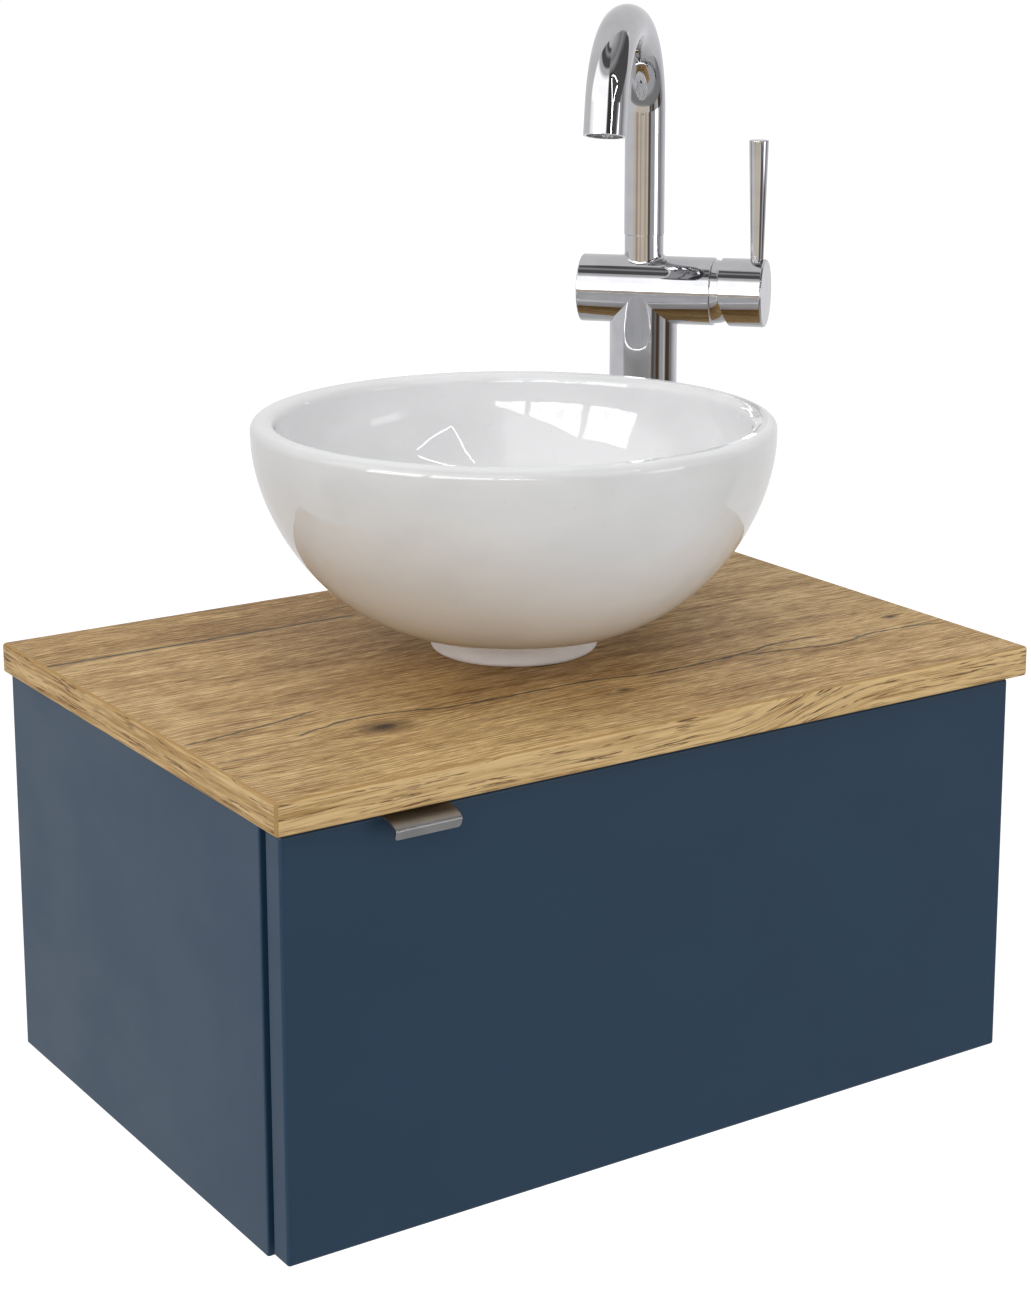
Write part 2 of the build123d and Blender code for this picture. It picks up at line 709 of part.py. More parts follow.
with BuildPart() as hinge_plate_screws:
    for hinge_z in hinge_heights:
        for offset in (-plate_screw_offset, plate_screw_offset):
            head_x = inner_half - plate_wing_thickness
            bar_x(head_x, head_x + plate_screw_length, plate_y, hinge_z + offset, screw_radius)
            bar_x(head_x - screw_head_height, head_x, plate_y, hinge_z + offset, screw_head_radius)
save(hinge_plate_screws, "hinge_plate_screws")

# ---------------------------------------------------------------- basin
# Shape of the bowl's faces: the floor's slope, then how far each face runs out along its floor and down
# from its widest level, as shares of the way out and of the way up
base_slope = 0.1
floor_slope = 0.04
outer_floor_pull = 0.575
outer_side_pull = 0.426
inner_floor_pull = 0.70
inner_side_pull = 0.372
widest_z = basin_rim_z - basin_rim_radius - basin_straight_rim
drain_recess_radius = drain_flange_radius + drain_recess_gap


def bowl_curve(start_radius, start_z, rim_radius, slope, floor_pull, side_pull):
    """One face of the bowl, from its floor up to its widest level, as one fair curve."""
    run_out = floor_pull * (rim_radius - start_radius)
    run_down = side_pull * (widest_z - start_z)
    Bezier((start_radius, start_z), (start_radius + run_out, start_z + slope * run_out),
           (rim_radius, widest_z - run_down), (rim_radius, widest_z))


inner_radius = basin_radius - basin_wall
rim_arc_z = basin_rim_z - basin_rim_radius
rim_outer_x = basin_radius - basin_rim_radius
rim_inner_x = inner_radius + basin_rim_radius
flange_z = basin_floor_z - drain_flange_thickness
basin_axis = Axis((0, basin_y, 0), (0, 0, 1))
basin_section = Plane.XZ.offset(-basin_y)

with BuildPart() as basin:
    with BuildSketch(basin_section):
        with BuildLine():
            bowl_curve(foot_radius, basin_base_z, basin_radius, base_slope, outer_floor_pull, outer_side_pull)
            Line((basin_radius, widest_z), (basin_radius, rim_arc_z))
            CenterArc((rim_outer_x, rim_arc_z), basin_rim_radius, 0, 90)
            Line((rim_outer_x, basin_rim_z), (rim_inner_x, basin_rim_z))
            CenterArc((rim_inner_x, rim_arc_z), basin_rim_radius, 90, 90)
            Line((inner_radius, rim_arc_z), (inner_radius, widest_z))
            bowl_curve(drain_recess_radius, basin_floor_z, inner_radius, floor_slope, inner_floor_pull,
                       inner_side_pull)
            Polyline((drain_recess_radius, basin_floor_z), (drain_recess_radius, flange_z),
                     (drain_hole_radius, flange_z), (drain_hole_radius, basin_base_z),
                     (foot_radius, basin_base_z))
        make_face()
    revolve(axis=basin_axis)
save(basin, "basin")

seal_mid_radius = foot_radius - foot_wall / 2
with BuildPart() as foot_ring:
    tube(*basin_hole, counter_top, basin_base_z, foot_radius, foot_radius - foot_wall)
    fillet(foot_ring.edges().group_by(Axis.Z)[0].sort_by(SortBy.RADIUS)[-1], foot_edge_radius)
    with BuildSketch(Plane.XY.offset(counter_top)):
        with Locations(basin_hole):
            Circle(seal_mid_radius + foot_seal_width / 2 + loose_clearance)
            Circle(seal_mid_radius - foot_seal_width / 2 - loose_clearance, mode=Mode.SUBTRACT)
    extrude(amount=foot_seal_thickness, mode=Mode.SUBTRACT)
save(foot_ring, "foot_ring")

with BuildPart() as foot_seal:
    tube(*basin_hole, counter_top, counter_top + foot_seal_thickness, seal_mid_radius + foot_seal_width / 2,
         seal_mid_radius - foot_seal_width / 2)
save(foot_seal, "foot_seal")

# ---------------------------------------------------------------- waste and trap
guide_top = basin_floor_z - 2 * drain_flange_thickness
guide_bottom = guide_top - drain_guide_length
drain_guide_radius = plug_stem_radius + drain_guide_wall
guide_rib_length = drain_bore_radius - drain_guide_radius + drain_wall

with BuildPart() as drain_body:
    post(*basin_hole, flange_z, basin_floor_z, drain_flange_radius)
    post(*basin_hole, drain_bottom_z, flange_z, drain_thread_radius)
    fillet(drain_body.edges().group_by(Axis.Z)[-1], drain_flange_thickness / 2)
    post(*basin_hole, drain_bottom_z, basin_floor_z, drain_bore_radius, mode=Mode.SUBTRACT)
    post(*basin_hole, guide_bottom, guide_top, drain_guide_radius)
    with BuildSketch(Plane.XY.offset(guide_bottom)):
        with Locations(basin_hole):
            with PolarLocations((drain_guide_radius + drain_bore_radius) / 2, 3):
                Rectangle(guide_rib_length, drain_rib)
    extrude(amount=drain_guide_length)
    post(*basin_hole, guide_bottom, guide_top, plug_stem_radius + running_clearance, mode=Mode.SUBTRACT)
save(drain_body, "drain_body")

plug_radius = drain_flange_radius - plug_inset
plug_bottom = basin_floor_z + plug_seat_gap
plug_top = plug_bottom + plug_thickness
crown_radius = (plug_radius ** 2 + plug_crown ** 2) / (2 * plug_crown)
with BuildPart() as drain_plug:
    with BuildSketch(basin_section):
        with BuildLine():
            Polyline((0, plug_top), (0, plug_bottom - plug_stem_length),
                     (plug_stem_radius, plug_bottom - plug_stem_length), (plug_stem_radius, plug_bottom),
                     (plug_radius, plug_bottom), (plug_radius, plug_top - plug_crown))
            RadiusArc((plug_radius, plug_top - plug_crown), (0, plug_top), -crown_radius)
        make_face()
    revolve(axis=basin_axis)
save(drain_plug, "drain_plug")

washer_z = cabinet_height - drain_washer_thickness
with BuildPart() as drain_washer:
    tube(*basin_hole, washer_z, cabinet_height, counter_drain_hole_radius + drain_washer_overlap,
         drain_thread_radius + loose_clearance)
save(drain_washer, "drain_washer")

with BuildPart() as drain_nut:
    with BuildSketch(Plane.XY.offset(washer_z - drain_nut_height)):
        with Locations(basin_hole):
            RegularPolygon(drain_thread_radius + drain_nut_wall, 8)
            Circle(drain_thread_radius + running_clearance, mode=Mode.SUBTRACT)
    extrude(amount=drain_nut_height)
save(drain_nut, "drain_nut")

neck_radius = pipe_radius + neck_wall
neck_top = trap_top_z + neck_length
dip_bottom_z = trap_cup_bottom + trap_dip_clearance
branch_end_y = basin_y + trap_branch_length

with BuildPart() as tailpiece:
    tube(*basin_hole, dip_bottom_z, drain_bottom_z + tail_insert, pipe_radius, pipe_radius - pipe_wall)
save(tailpiece, "tailpiece")

tail_nut_bottom = drain_bottom_z - slip_nut_lip
tail_nut_top = tail_nut_bottom + slip_nut_height
with BuildPart() as tailpiece_nut:
    post(*basin_hole, tail_nut_bottom, tail_nut_top, drain_thread_radius + slip_nut_wall)
    post(*basin_hole, drain_bottom_z, tail_nut_top, drain_thread_radius + running_clearance,
         mode=Mode.SUBTRACT)
    post(*basin_hole, tail_nut_bottom, drain_bottom_z, pipe_radius + running_clearance, mode=Mode.SUBTRACT)
save(tailpiece_nut, "tailpiece_nut")

with BuildPart() as trap_body:
    post(*basin_hole, trap_bottom_z, trap_top_z, trap_radius)
    post(*basin_hole, trap_top_z, trap_top_z + neck_length, neck_radius)
    bar_y(0, basin_y, branch_end_y, branch_z, neck_radius)
    post(*basin_hole, trap_bottom_z, trap_top_z - trap_wall, trap_radius - trap_wall, mode=Mode.SUBTRACT)
    post(*basin_hole, trap_top_z - trap_wall, trap_top_z + neck_length, pipe_radius + running_clearance,
         mode=Mode.SUBTRACT)
    bar_y(0, basin_y + pipe_radius, branch_end_y, branch_z, pipe_radius + running_clearance,
          mode=Mode.SUBTRACT)
save(trap_body, "trap_body")

trap_nut_top = neck_top + slip_nut_lip
trap_nut_bottom = trap_nut_top - slip_nut_height
with BuildPart() as trap_nut:
    post(*basin_hole, trap_nut_bottom, trap_nut_top, neck_radius + slip_nut_wall)
    post(*basin_hole, trap_nut_bottom, neck_top, neck_radius + running_clearance, mode=Mode.SUBTRACT)
    post(*basin_hole, neck_top, trap_nut_top, pipe_radius + running_clearance, mode=Mode.SUBTRACT)
save(trap_nut, "trap_nut")

with BuildPart() as trap_cup:
    post(*basin_hole, trap_cup_bottom, trap_cup_top, trap_radius + trap_wall)
    fillet(trap_cup.edges().group_by(Axis.Z)[0], 2 * trap_wall)
    post(*basin_hole, trap_bottom_z, trap_cup_top, trap_radius + running_clearance, mode=Mode.SUBTRACT)
    post(*basin_hole, trap_cup_bottom + trap_wall, trap_bottom_z, trap_radius - trap_wall, mode=Mode.SUBTRACT)
save(trap_cup, "trap_cup")

with BuildPart() as outlet_pipe:
    bar_y(0, branch_end_y - tail_insert, back_y, branch_z, pipe_radius)
    bar_y(0, branch_end_y - tail_insert, back_y, branch_z, pipe_radius - pipe_wall, mode=Mode.SUBTRACT)
save(outlet_pipe, "outlet_pipe")

outlet_nut_rear = branch_end_y + slip_nut_lip
outlet_nut_front = outlet_nut_rear - slip_nut_height
with BuildPart() as outlet_nut:
    bar_y(0, outlet_nut_front, outlet_nut_rear, branch_z, neck_radius + slip_nut_wall)
    bar_y(0, outlet_nut_front, branch_end_y, branch_z, neck_radius + running_clearance, mode=Mode.SUBTRACT)
    bar_y(0, branch_end_y, outlet_nut_rear, branch_z, pipe_radius + running_clearance, mode=Mode.SUBTRACT)
save(outlet_nut, "outlet_nut")

with BuildPart() as wall_rosette:
    bar_y(0, back_y - rosette_thickness, back_y, branch_z, rosette_radius)
    fillet(wall_rosette.faces().sort_by(Axis.Y)[0].edges(), rosette_thickness / 2)
    bar_y(0, back_y - rosette_thickness, back_y, branch_z, pipe_radius + running_clearance,
          mode=Mode.SUBTRACT)
save(wall_rosette, "wall_rosette")

# ---------------------------------------------------------------- mixer tap: body and fixing
barrel_axis = Axis(tuple(barrel_plane.origin), tuple(lever_direction))
barrel_side = Plane(origin=barrel_plane.origin, x_dir=lever_direction,
                    z_dir=lever_direction.cross(Vector(0, 0, 1)))
pivot_s = barrel_front
chamber_start = barrel_front - chamber_length
collar_bore_bottom = collar_top_z + spout_seam - spout_tail_length - collar_bore_gap

with BuildPart() as mixer_body:
    with BuildSketch(barrel_plane.offset(-barrel_back)):
        Circle(mixer_radius)
    extrude(amount=barrel_back + barrel_front)
    fillet(mixer_body.edges().filter_by(GeomType.CIRCLE), barrel_edge_radius)
    post(*mixer_hole, counter_top, barrel_z, mixer_radius)
    post(*mixer_hole, barrel_z, collar_top_z, collar_radius)
    collar_root = mixer_body.edges(Select.LAST).filter_by(GeomType.CIRCLE, reverse=True)
    fillet(collar_root.filter_by(GeomType.LINE, reverse=True), collar_fillet)
    post(*mixer_hole, counter_top, barrel_z - chamber_radius - column_roof, column_bore_radius,
         mode=Mode.SUBTRACT)
    with BuildSketch(barrel_plane.offset(chamber_start)):
        Circle(chamber_radius)
    extrude(amount=chamber_length, mode=Mode.SUBTRACT)
    with BuildSketch(barrel_plane):
        Circle(water_way_radius)
    extrude(amount=chamber_start, mode=Mode.SUBTRACT)
    post(*mixer_hole, barrel_z, collar_top_z, water_way_radius, mode=Mode.SUBTRACT)
    post(*mixer_hole, collar_bore_bottom, collar_top_z, spout_tail_radius + running_clearance,
         mode=Mode.SUBTRACT)
save(mixer_body, "mixer_body")

shank_bottom = counter_top - shank_drop
inlet_xs = [mixer_x + side * inlet_spacing / 2 for side in (-1, 1)]
with BuildPart() as mixer_shank:
    post(*mixer_hole, counter_top, counter_top + shank_plug_height, column_bore_radius - running_clearance)
    post(*mixer_hole, shank_bottom, counter_top, shank_radius)
    for inlet_x in inlet_xs:
        post(inlet_x, mixer_y, shank_bottom, shank_bottom + inlet_depth, inlet_radius, mode=Mode.SUBTRACT)
        post(inlet_x, mixer_y, shank_bottom, counter_top + shank_plug_height,
             inlet_radius - inlet_shoulder, mode=Mode.SUBTRACT)
save(mixer_shank, "mixer_shank")

mixer_washer_z = cabinet_height - mixer_washer_thickness
with BuildPart() as mixer_washer:
    tube(*mixer_hole, mixer_washer_z, cabinet_height, counter_mixer_hole_radius + mixer_washer_overlap,
         shank_radius + loose_clearance)
save(mixer_washer, "mixer_washer")

with BuildPart() as mixer_nut:
    with BuildSketch(Plane.XY.offset(mixer_washer_z - mixer_nut_height)):
        with Locations(mixer_hole):
            RegularPolygon(shank_radius + mixer_nut_wall, 6)
            Circle(shank_radius + running_clearance, mode=Mode.SUBTRACT)
    extrude(amount=mixer_nut_height)
save(mixer_nut, "mixer_nut")

# ---------------------------------------------------------------- mixer tap: swivel spout
spout_base_z = collar_top_z + spout_seam
spout_bend_z = spout_base_z + spout_rise
spout_bore = spout_radius - spout_wall
tail_bottom = spout_base_z - spout_tail_length
tail_bore = spout_tail_radius - spout_tail_wall
seal_heights = [tail_bottom + step * seal_spacing for step in (1, 2)]
spout_plane = Plane(origin=(mixer_x, mixer_y, 0), x_dir=spout_direction,
                    z_dir=spout_direction.cross(Vector(0, 0, 1)))

with BuildPart() as spout:
    with BuildLine(spout_plane) as spout_path:
        rise = Line((0, spout_base_z), (0, spout_bend_z))
        bend = CenterArc((spout_bend_radius, spout_bend_z), spout_bend_radius, 180, -spout_sweep)
        fall = PolarLine(bend @ 1, spout_end_length, direction=bend % 1)
    with BuildSketch(Plane(origin=(mixer_x, mixer_y, spout_base_z))):
        Circle(spout_radius)
        Circle(spout_bore, mode=Mode.SUBTRACT)
    sweep(path=spout_path.line)
    post(*mixer_hole, spout_base_z, spout_base_z + spout_wall, spout_bore + spout_wall / 2)
    post(*mixer_hole, tail_bottom, spout_base_z, spout_tail_radius)
    for seal_z in seal_heights:
        with BuildSketch(Plane.XY.offset(seal_z - seal_radius)):
            with Locations(mixer_hole):
                Circle(spout_tail_radius)
                Circle(spout_tail_radius - 2 * seal_radius, mode=Mode.SUBTRACT)
        extrude(amount=2 * seal_radius, mode=Mode.SUBTRACT)
    post(*mixer_hole, tail_bottom, spout_base_z + spout_wall, tail_bore, mode=Mode.SUBTRACT)
save(spout, "spout")

with BuildPart() as spout_seals:
    for seal_z in seal_heights:
        with Locations((mixer_x, mixer_y, seal_z)):
            Torus(spout_tail_radius - seal_radius, seal_radius)
save(spout_seals, "spout_seals")

outlet_point = spout_path.line @ 1
outlet_direction = spout_path.line % 1
aerator_plane = Plane(origin=outlet_point - outlet_direction * (aerator_recess + aerator_length),
                      z_dir=outlet_direction)
with BuildPart() as aerator:
    with BuildSketch(aerator_plane):
        Circle(spout_bore - running_clearance)
        with HexLocations(aerator_hole_spacing / 2, 5, 5):
            Circle(aerator_hole_radius, mode=Mode.SUBTRACT)
    extrude(amount=aerator_length)
save(aerator, "aerator")

# ---------------------------------------------------------------- mixer tap: cartridge
cartridge_radius = chamber_radius - cartridge_gap
cartridge_start = chamber_start + cartridge_bottom_gap
cartridge_end = cartridge_start + cartridge_length
rotor_start = pivot_s - rotor_length
tilt_direction = Vector(-lever_direction.Y, lever_direction.X, 0)
tilt_plane = Plane(origin=barrel_point(pivot_s), x_dir=lever_direction, z_dir=tilt_direction)

with BuildPart() as cartridge:
    with BuildSketch(barrel_plane.offset(cartridge_start)):
        Circle(cartridge_radius)
        with PolarLocations(cartridge_radius * cartridge_port_share, 3):
            Circle(water_way_radius / 2, mode=Mode.SUBTRACT)
    extrude(amount=cartridge_length)
    with BuildSketch(barrel_plane.offset(rotor_start)):
        Circle(rotor_radius + running_clearance)
    extrude(amount=cartridge_end - rotor_start, mode=Mode.SUBTRACT)
save(cartridge, "cartridge")

with BuildPart() as cartridge_nut:
    with BuildSketch(barrel_plane.offset(cartridge_end)):
        Circle(chamber_radius - running_clearance)
        Circle(cartridge_nut_bore, mode=Mode.SUBTRACT)
    extrude(amount=cartridge_nut_length)
save(cartridge_nut, "cartridge_nut")

dome_radius = mixer_radius - dome_step
dome_inner = dome_radius - dome_wall
opening_outer = sqrt(dome_radius ** 2 - dome_opening ** 2)
opening_inner = sqrt(dome_inner ** 2 - dome_opening ** 2)
skirt_outer = chamber_radius - running_clearance
skirt_inner = skirt_outer - dome_skirt_wall
skirt_start = pivot_s - dome_skirt_length
with BuildPart() as dome_cap:
    with BuildSketch(barrel_side):
        with BuildLine():
            RadiusArc((pivot_s, dome_radius), (pivot_s + opening_outer, dome_opening), dome_radius)
            Line((pivot_s + opening_outer, dome_opening), (pivot_s + opening_inner, dome_opening))
            RadiusArc((pivot_s + opening_inner, dome_opening), (pivot_s, dome_inner), -dome_inner)
            Polyline((pivot_s, dome_inner), (pivot_s, skirt_inner), (skirt_start, skirt_inner),
                     (skirt_start, skirt_outer), (pivot_s, skirt_outer), (pivot_s, dome_radius))
        make_face()
    revolve(axis=barrel_axis)
save(dome_cap, "dome_cap")

slot_end = rotor_nose + past_face
slot_length = slot_end + rotor_slot_depth
with BuildPart() as cartridge_rotor:
    with BuildSketch(barrel_plane.offset(rotor_start)):
        Circle(rotor_radius)
    extrude(amount=rotor_length + rotor_nose)
    with BuildSketch(tilt_plane):
        with Locations((slot_end - slot_length / 2, 0)):
            Rectangle(slot_length, 2 * (rotor_radius + past_face))
    extrude(amount=stem_size / 2 + loose_clearance, both=True, mode=Mode.SUBTRACT)
    with BuildSketch(tilt_plane):
        Circle(rotor_pin_radius + running_clearance)
    extrude(amount=rotor_radius, both=True, mode=Mode.SUBTRACT)
save(cartridge_rotor, "cartridge_rotor")

rotor_pin_half = sqrt(rotor_radius ** 2 - rotor_pin_radius ** 2) - hole_clearance
with BuildPart() as rotor_pin:
    with BuildSketch(tilt_plane):
        Circle(rotor_pin_radius)
    extrude(amount=rotor_pin_half, both=True)
save(rotor_pin, "rotor_pin")

# ---------------------------------------------------------------- mixer tap: lever
hub_start = pivot_s + hub_gap
rod_base_z = barrel_z + mixer_radius - rod_seat
rod_point = barrel_point(rod_position)
screw_point = barrel_point(lever_screw_position)
screw_top_z = barrel_z - stem_size / 2

with BuildPart() as lever_hub:
    with BuildSketch(barrel_plane.offset(hub_start)):
        Circle(mixer_radius)
    extrude(amount=hub_end - hub_start)
    fillet(lever_hub.edges().filter_by(GeomType.CIRCLE).sort_by(barrel_axis)[-1], hub_edge_radius)
    with BuildSketch(barrel_side):
        with BuildLine():
            Polyline((hub_start, 0), (hub_start + hub_relief_run, -mixer_radius), (hub_start, -mixer_radius),
                     close=True)
        make_face()
    extrude(amount=mixer_radius, both=True, mode=Mode.SUBTRACT)
    with Locations(barrel_point(pivot_s)):
        Sphere(dome_radius + hub_clearance, mode=Mode.SUBTRACT)
    with BuildSketch(barrel_plane.offset(pivot_s)):
        Rectangle(stem_size + 2 * running_clearance, stem_size + 2 * running_clearance)
    extrude(amount=stem_end - pivot_s, mode=Mode.SUBTRACT)
    post(rod_point.X, rod_point.Y, rod_base_z, barrel_z + mixer_radius, rod_base_radius + loose_clearance,
         mode=Mode.SUBTRACT)
    post(rod_point.X, rod_point.Y, rod_base_z - rod_stud_length, rod_base_z,
         rod_stud_radius + running_clearance, mode=Mode.SUBTRACT)
    post(screw_point.X, screw_point.Y, barrel_z - mixer_radius, barrel_z,
         lever_screw_radius + running_clearance, mode=Mode.SUBTRACT)
save(lever_hub, "lever_hub")

with BuildPart() as lever_stem:
    with BuildSketch(barrel_plane.offset(pivot_s - stem_tail)):
        Rectangle(stem_size, stem_size)
    extrude(amount=stem_tail + stem_end - pivot_s)
    with BuildSketch(tilt_plane):
        Circle(rotor_pin_radius + running_clearance)
    extrude(amount=stem_size, both=True, mode=Mode.SUBTRACT)
save(lever_stem, "lever_stem")

rod_height = rod_length + rod_seat
with BuildPart() as lever_rod:
    with Locations((rod_point.X, rod_point.Y, rod_base_z + rod_height / 2)):
        Cone(rod_base_radius, rod_top_radius, rod_height)
    fillet(lever_rod.edges().group_by(Axis.Z)[-1], rod_edge_radius)
    post(rod_point.X, rod_point.Y, rod_base_z - rod_stud_length, rod_base_z, rod_stud_radius)
save(lever_rod, "lever_rod")

with BuildPart() as lever_screw:
    post(screw_point.X, screw_point.Y, screw_top_z - lever_screw_length, screw_top_z, lever_screw_radius)
save(lever_screw, "lever_screw")
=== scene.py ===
"""Looks for the vessel sink on vanity: materials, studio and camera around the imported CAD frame."""

import json
import math
from collections import namedtuple

import bmesh
import bpy
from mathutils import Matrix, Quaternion, Vector

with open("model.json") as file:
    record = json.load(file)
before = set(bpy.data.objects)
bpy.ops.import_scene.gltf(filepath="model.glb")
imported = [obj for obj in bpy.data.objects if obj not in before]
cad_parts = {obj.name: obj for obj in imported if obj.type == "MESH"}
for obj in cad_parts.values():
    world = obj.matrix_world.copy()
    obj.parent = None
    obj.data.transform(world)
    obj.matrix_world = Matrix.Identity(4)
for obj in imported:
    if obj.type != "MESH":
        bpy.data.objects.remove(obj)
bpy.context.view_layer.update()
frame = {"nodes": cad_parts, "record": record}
NODES = frame["nodes"]
MM = 1000.0              # mm in a metre

# ---------------------------------------------------------------- sizes taken over from the CAD, in mm
COUNTER_HALF = 250.0     # half the width of the top with its bands
BASIN_AXIS = (0.0, 2.75)

# ---------------------------------------------------------------- camera
CAMERA_PLACE = (-0.81375, -1.23786, 0.68001)
CAMERA_AZIMUTH = 33.304   # clockwise from +Y
CAMERA_PITCH = 11.836     # below the horizon
CAMERA_ROLL = -0.085
CAMERA_LENS = 72.519
CAMERA_SENSOR = 36.0
CAMERA_SHIFT = -0.15
CAMERA_CLIP = (0.01, 100.0)

# ---------------------------------------------------------------- light
FLOOR_HEIGHT = -1.4
FLOOR_HALF = 40.0
FLOOR_COLOUR = 0.82
FLOOR_GLOW = 0.54        # added for camera rays only, so the lit floor reads as white paper
AMBIENT = 0.65           # what diffuse surfaces receive from all round
LAMP_TARGET = (0.0, 0.0, 0.3)
# Each lamp has its name, place, power in watts and width in metres.
LAMPS = (
    ("key", (-2.5, -1.25, 1.9), 24.0, 1.5),
    ("fill", (1.35, -1.6, 0.25), 7.0, 1.4),
    ("overhead", (-0.10, -0.05, 2.3), 5.0, 0.9),
)
# Three thin strips whose reflections draw the open triangle inside the bowl. Each has its name, the azimuth
# and elevation of its two ends in degrees, and how far its middle is off the straight line.
STRIPS = (
    ("strip_upper_left", (-66, 30), (-89.5, 20), 0.015),
    ("strip_right", (-90, 20.5), (-97, 45), 0.0),
    ("strip_lower", (-65, 32.5), (-95.5, 47), -0.02),
)
STRIP_GLOW = 14.0
STRIP_REACH = 3.0        # how far the strips are from a point on the basin's axis
STRIP_CENTRE_HEIGHT = 0.35
STRIP_HALF_WIDTH = 0.020
STRIP_STEPS = 12

# Noise mostly lies between these values.
NOISE_LOW, NOISE_HIGH = 0.3, 0.7

# A layer of noise stretched along the grain of wood: how fine it is along and across the grain, per mm, its
# detail and roughness, and an offset that tells it from other layers.
Grain = namedtuple("Grain", "along across detail roughness offset")


def srgb(red, green, blue):
    """Linear RGBA of a colour written as 0 to 255 values."""
    linear = []
    for part in (red, green, blue):
        share = part / 255.0
        linear.append(share / 12.92 if share <= 0.04045 else ((share + 0.055) / 1.055) ** 2.4)
    return (*linear, 1.0)


def grey(level):
    return (level, level, level, 1.0)


class Graph:
    """Short calls for adding and linking the nodes of one tree."""

    def __init__(self, tree):
        self.tree = tree
        tree.nodes.clear()

    def feed(self, socket, value):
        if isinstance(value, bpy.types.NodeSocket):
            self.tree.links.new(value, socket)
        else:
            socket.default_value = value

    def node(self, kind, inputs=None, **settings):
        made = self.tree.nodes.new(kind)
        for name, value in settings.items():
            setattr(made, name, value)
        for socket, value in (inputs or {}).items():
            self.feed(made.inputs[socket], value)
        return made

    def math(self, operation, *values, clamp=False):
        made = self.node("ShaderNodeMath", operation=operation, use_clamp=clamp)
        for socket, value in zip(made.inputs, values):
            self.feed(socket, value)
        return made.outputs[0]

    def scaled(self, vector, factors):
        made = self.node("ShaderNodeVectorMath", {0: vector, 1: factors}, operation="MULTIPLY")
        return made.outputs[0]

    def split(self, vector):
        return self.node("ShaderNodeSeparateXYZ", {0: vector}).outputs

    def joined(self, x, y, z=0.0):
        return self.node("ShaderNodeCombineXYZ", {0: x, 1: y, 2: z}).outputs[0]

    def noise(self, vector, detail=2.0, roughness=0.5, scale=1.0, distortion=0.0):
        """A noise value of about 0.5, with features one unit of the vector across."""
        inputs = {"Vector": vector, "Scale": scale, "Detail": detail, "Roughness": roughness,
                  "Distortion": distortion}
        return self.node("ShaderNodeTexNoise", inputs).outputs["Fac"]

    def grain(self, along, across, layer):
        """The noise of a Grain at coordinates along and across the grain."""
        vector = self.joined(self.math("MULTIPLY", along, layer.along),
                             self.math("MULTIPLY", across, layer.across), layer.offset)
        return self.noise(vector, layer.detail, layer.roughness)

    def swung(self, noise, weight, base):
        """The base moved up and down by a noise's swing about its middle, times the weight."""
        return self.math("MULTIPLY_ADD", self.math("SUBTRACT", noise, 0.5), weight, base)

    def gap(self, value, middle=0.5):
        """How far a value is from its middle, which for noise is small along thin winding lines."""
        return self.math("ABSOLUTE", self.math("SUBTRACT", value, middle))

    def between(self, value, low, high, start=0.0, end=1.0, kind="SMOOTHSTEP"):
        """Maps low..high to start..end and holds the ends."""
        made = self.node("ShaderNodeMapRange", {0: value, 1: low, 2: high, 3: start, 4: end},
                         interpolation_type=kind)
        return made.outputs[0]

    def spread(self, noise, start=0.0, end=1.0):
        """Maps a noise to start..end."""
        return self.between(noise, NOISE_LOW, NOISE_HIGH, start, end)

    def ramp(self, value, stops):
        """A colour ramp from a list of (position, colour)."""
        made = self.node("ShaderNodeValToRGB", {0: value})
        elements = made.color_ramp.elements
        while len(elements) < len(stops):
            elements.new(1.0)
        for element, (position, colour) in zip(elements, stops):
            element.position = position
            element.color = colour
        return made.outputs[0]

    def mix(self, share, first, second, blend="MIX"):
        made = self.node("ShaderNodeMix", data_type="RGBA", blend_type=blend)
        self.feed(made.inputs[0], share)
        self.feed(made.inputs[6], first)
        self.feed(made.inputs[7], second)
        return made.outputs[2]

    def curve(self, value, points):
        """A smooth curve through (input, output) points, both 0 to 1."""
        made = self.node("ShaderNodeFloatCurve", {1: value})
        line = made.mapping.curves[0]
        line.points[0].location = points[0]
        line.points[1].location = points[-1]
        for place in points[1:-1]:
            line.points.new(*place)
        made.mapping.update()
        return made.outputs[0]


class Finish(Graph):
    """A material with one Principled surface, in object coordinates measured in mm."""

    def __init__(self, name, plain, **fixed):
        self.material = bpy.data.materials.new(name)
        self.material.use_nodes = True
        self.material.diffuse_color = plain
        super().__init__(self.material.node_tree)
        self.shader = self.node("ShaderNodeBsdfPrincipled")
        output = self.node("ShaderNodeOutputMaterial")
        self.feed(output.inputs["Surface"], self.shader.outputs[0])
        self.set(**fixed)
        coordinates = self.node("ShaderNodeTexCoord")
        self.place = self.scaled(coordinates.outputs["Object"], (MM, MM, MM))
        self.normal = coordinates.outputs["Normal"]

    def set(self, **values):
        for name, value in values.items():
            self.feed(self.shader.inputs[name.replace("_", " ")], value)

    def pattern(self, per_mm, detail=2.0, roughness=0.5):
        """Noise over the object, with one fineness per mm or one for each axis."""
        fineness = per_mm if isinstance(per_mm, tuple) else (per_mm, per_mm, per_mm)
        return self.noise(self.scaled(self.place, fineness), detail, roughness)

    def raised(self, height, depth_mm, strength):
        """Feeds a bump of the given depth into the surface's normal."""
        bump = {"Strength": strength, "Distance": depth_mm / MM, "Height": height}
        self.feed(self.shader.inputs["Normal"], self.node("ShaderNodeBump", bump).outputs[0])


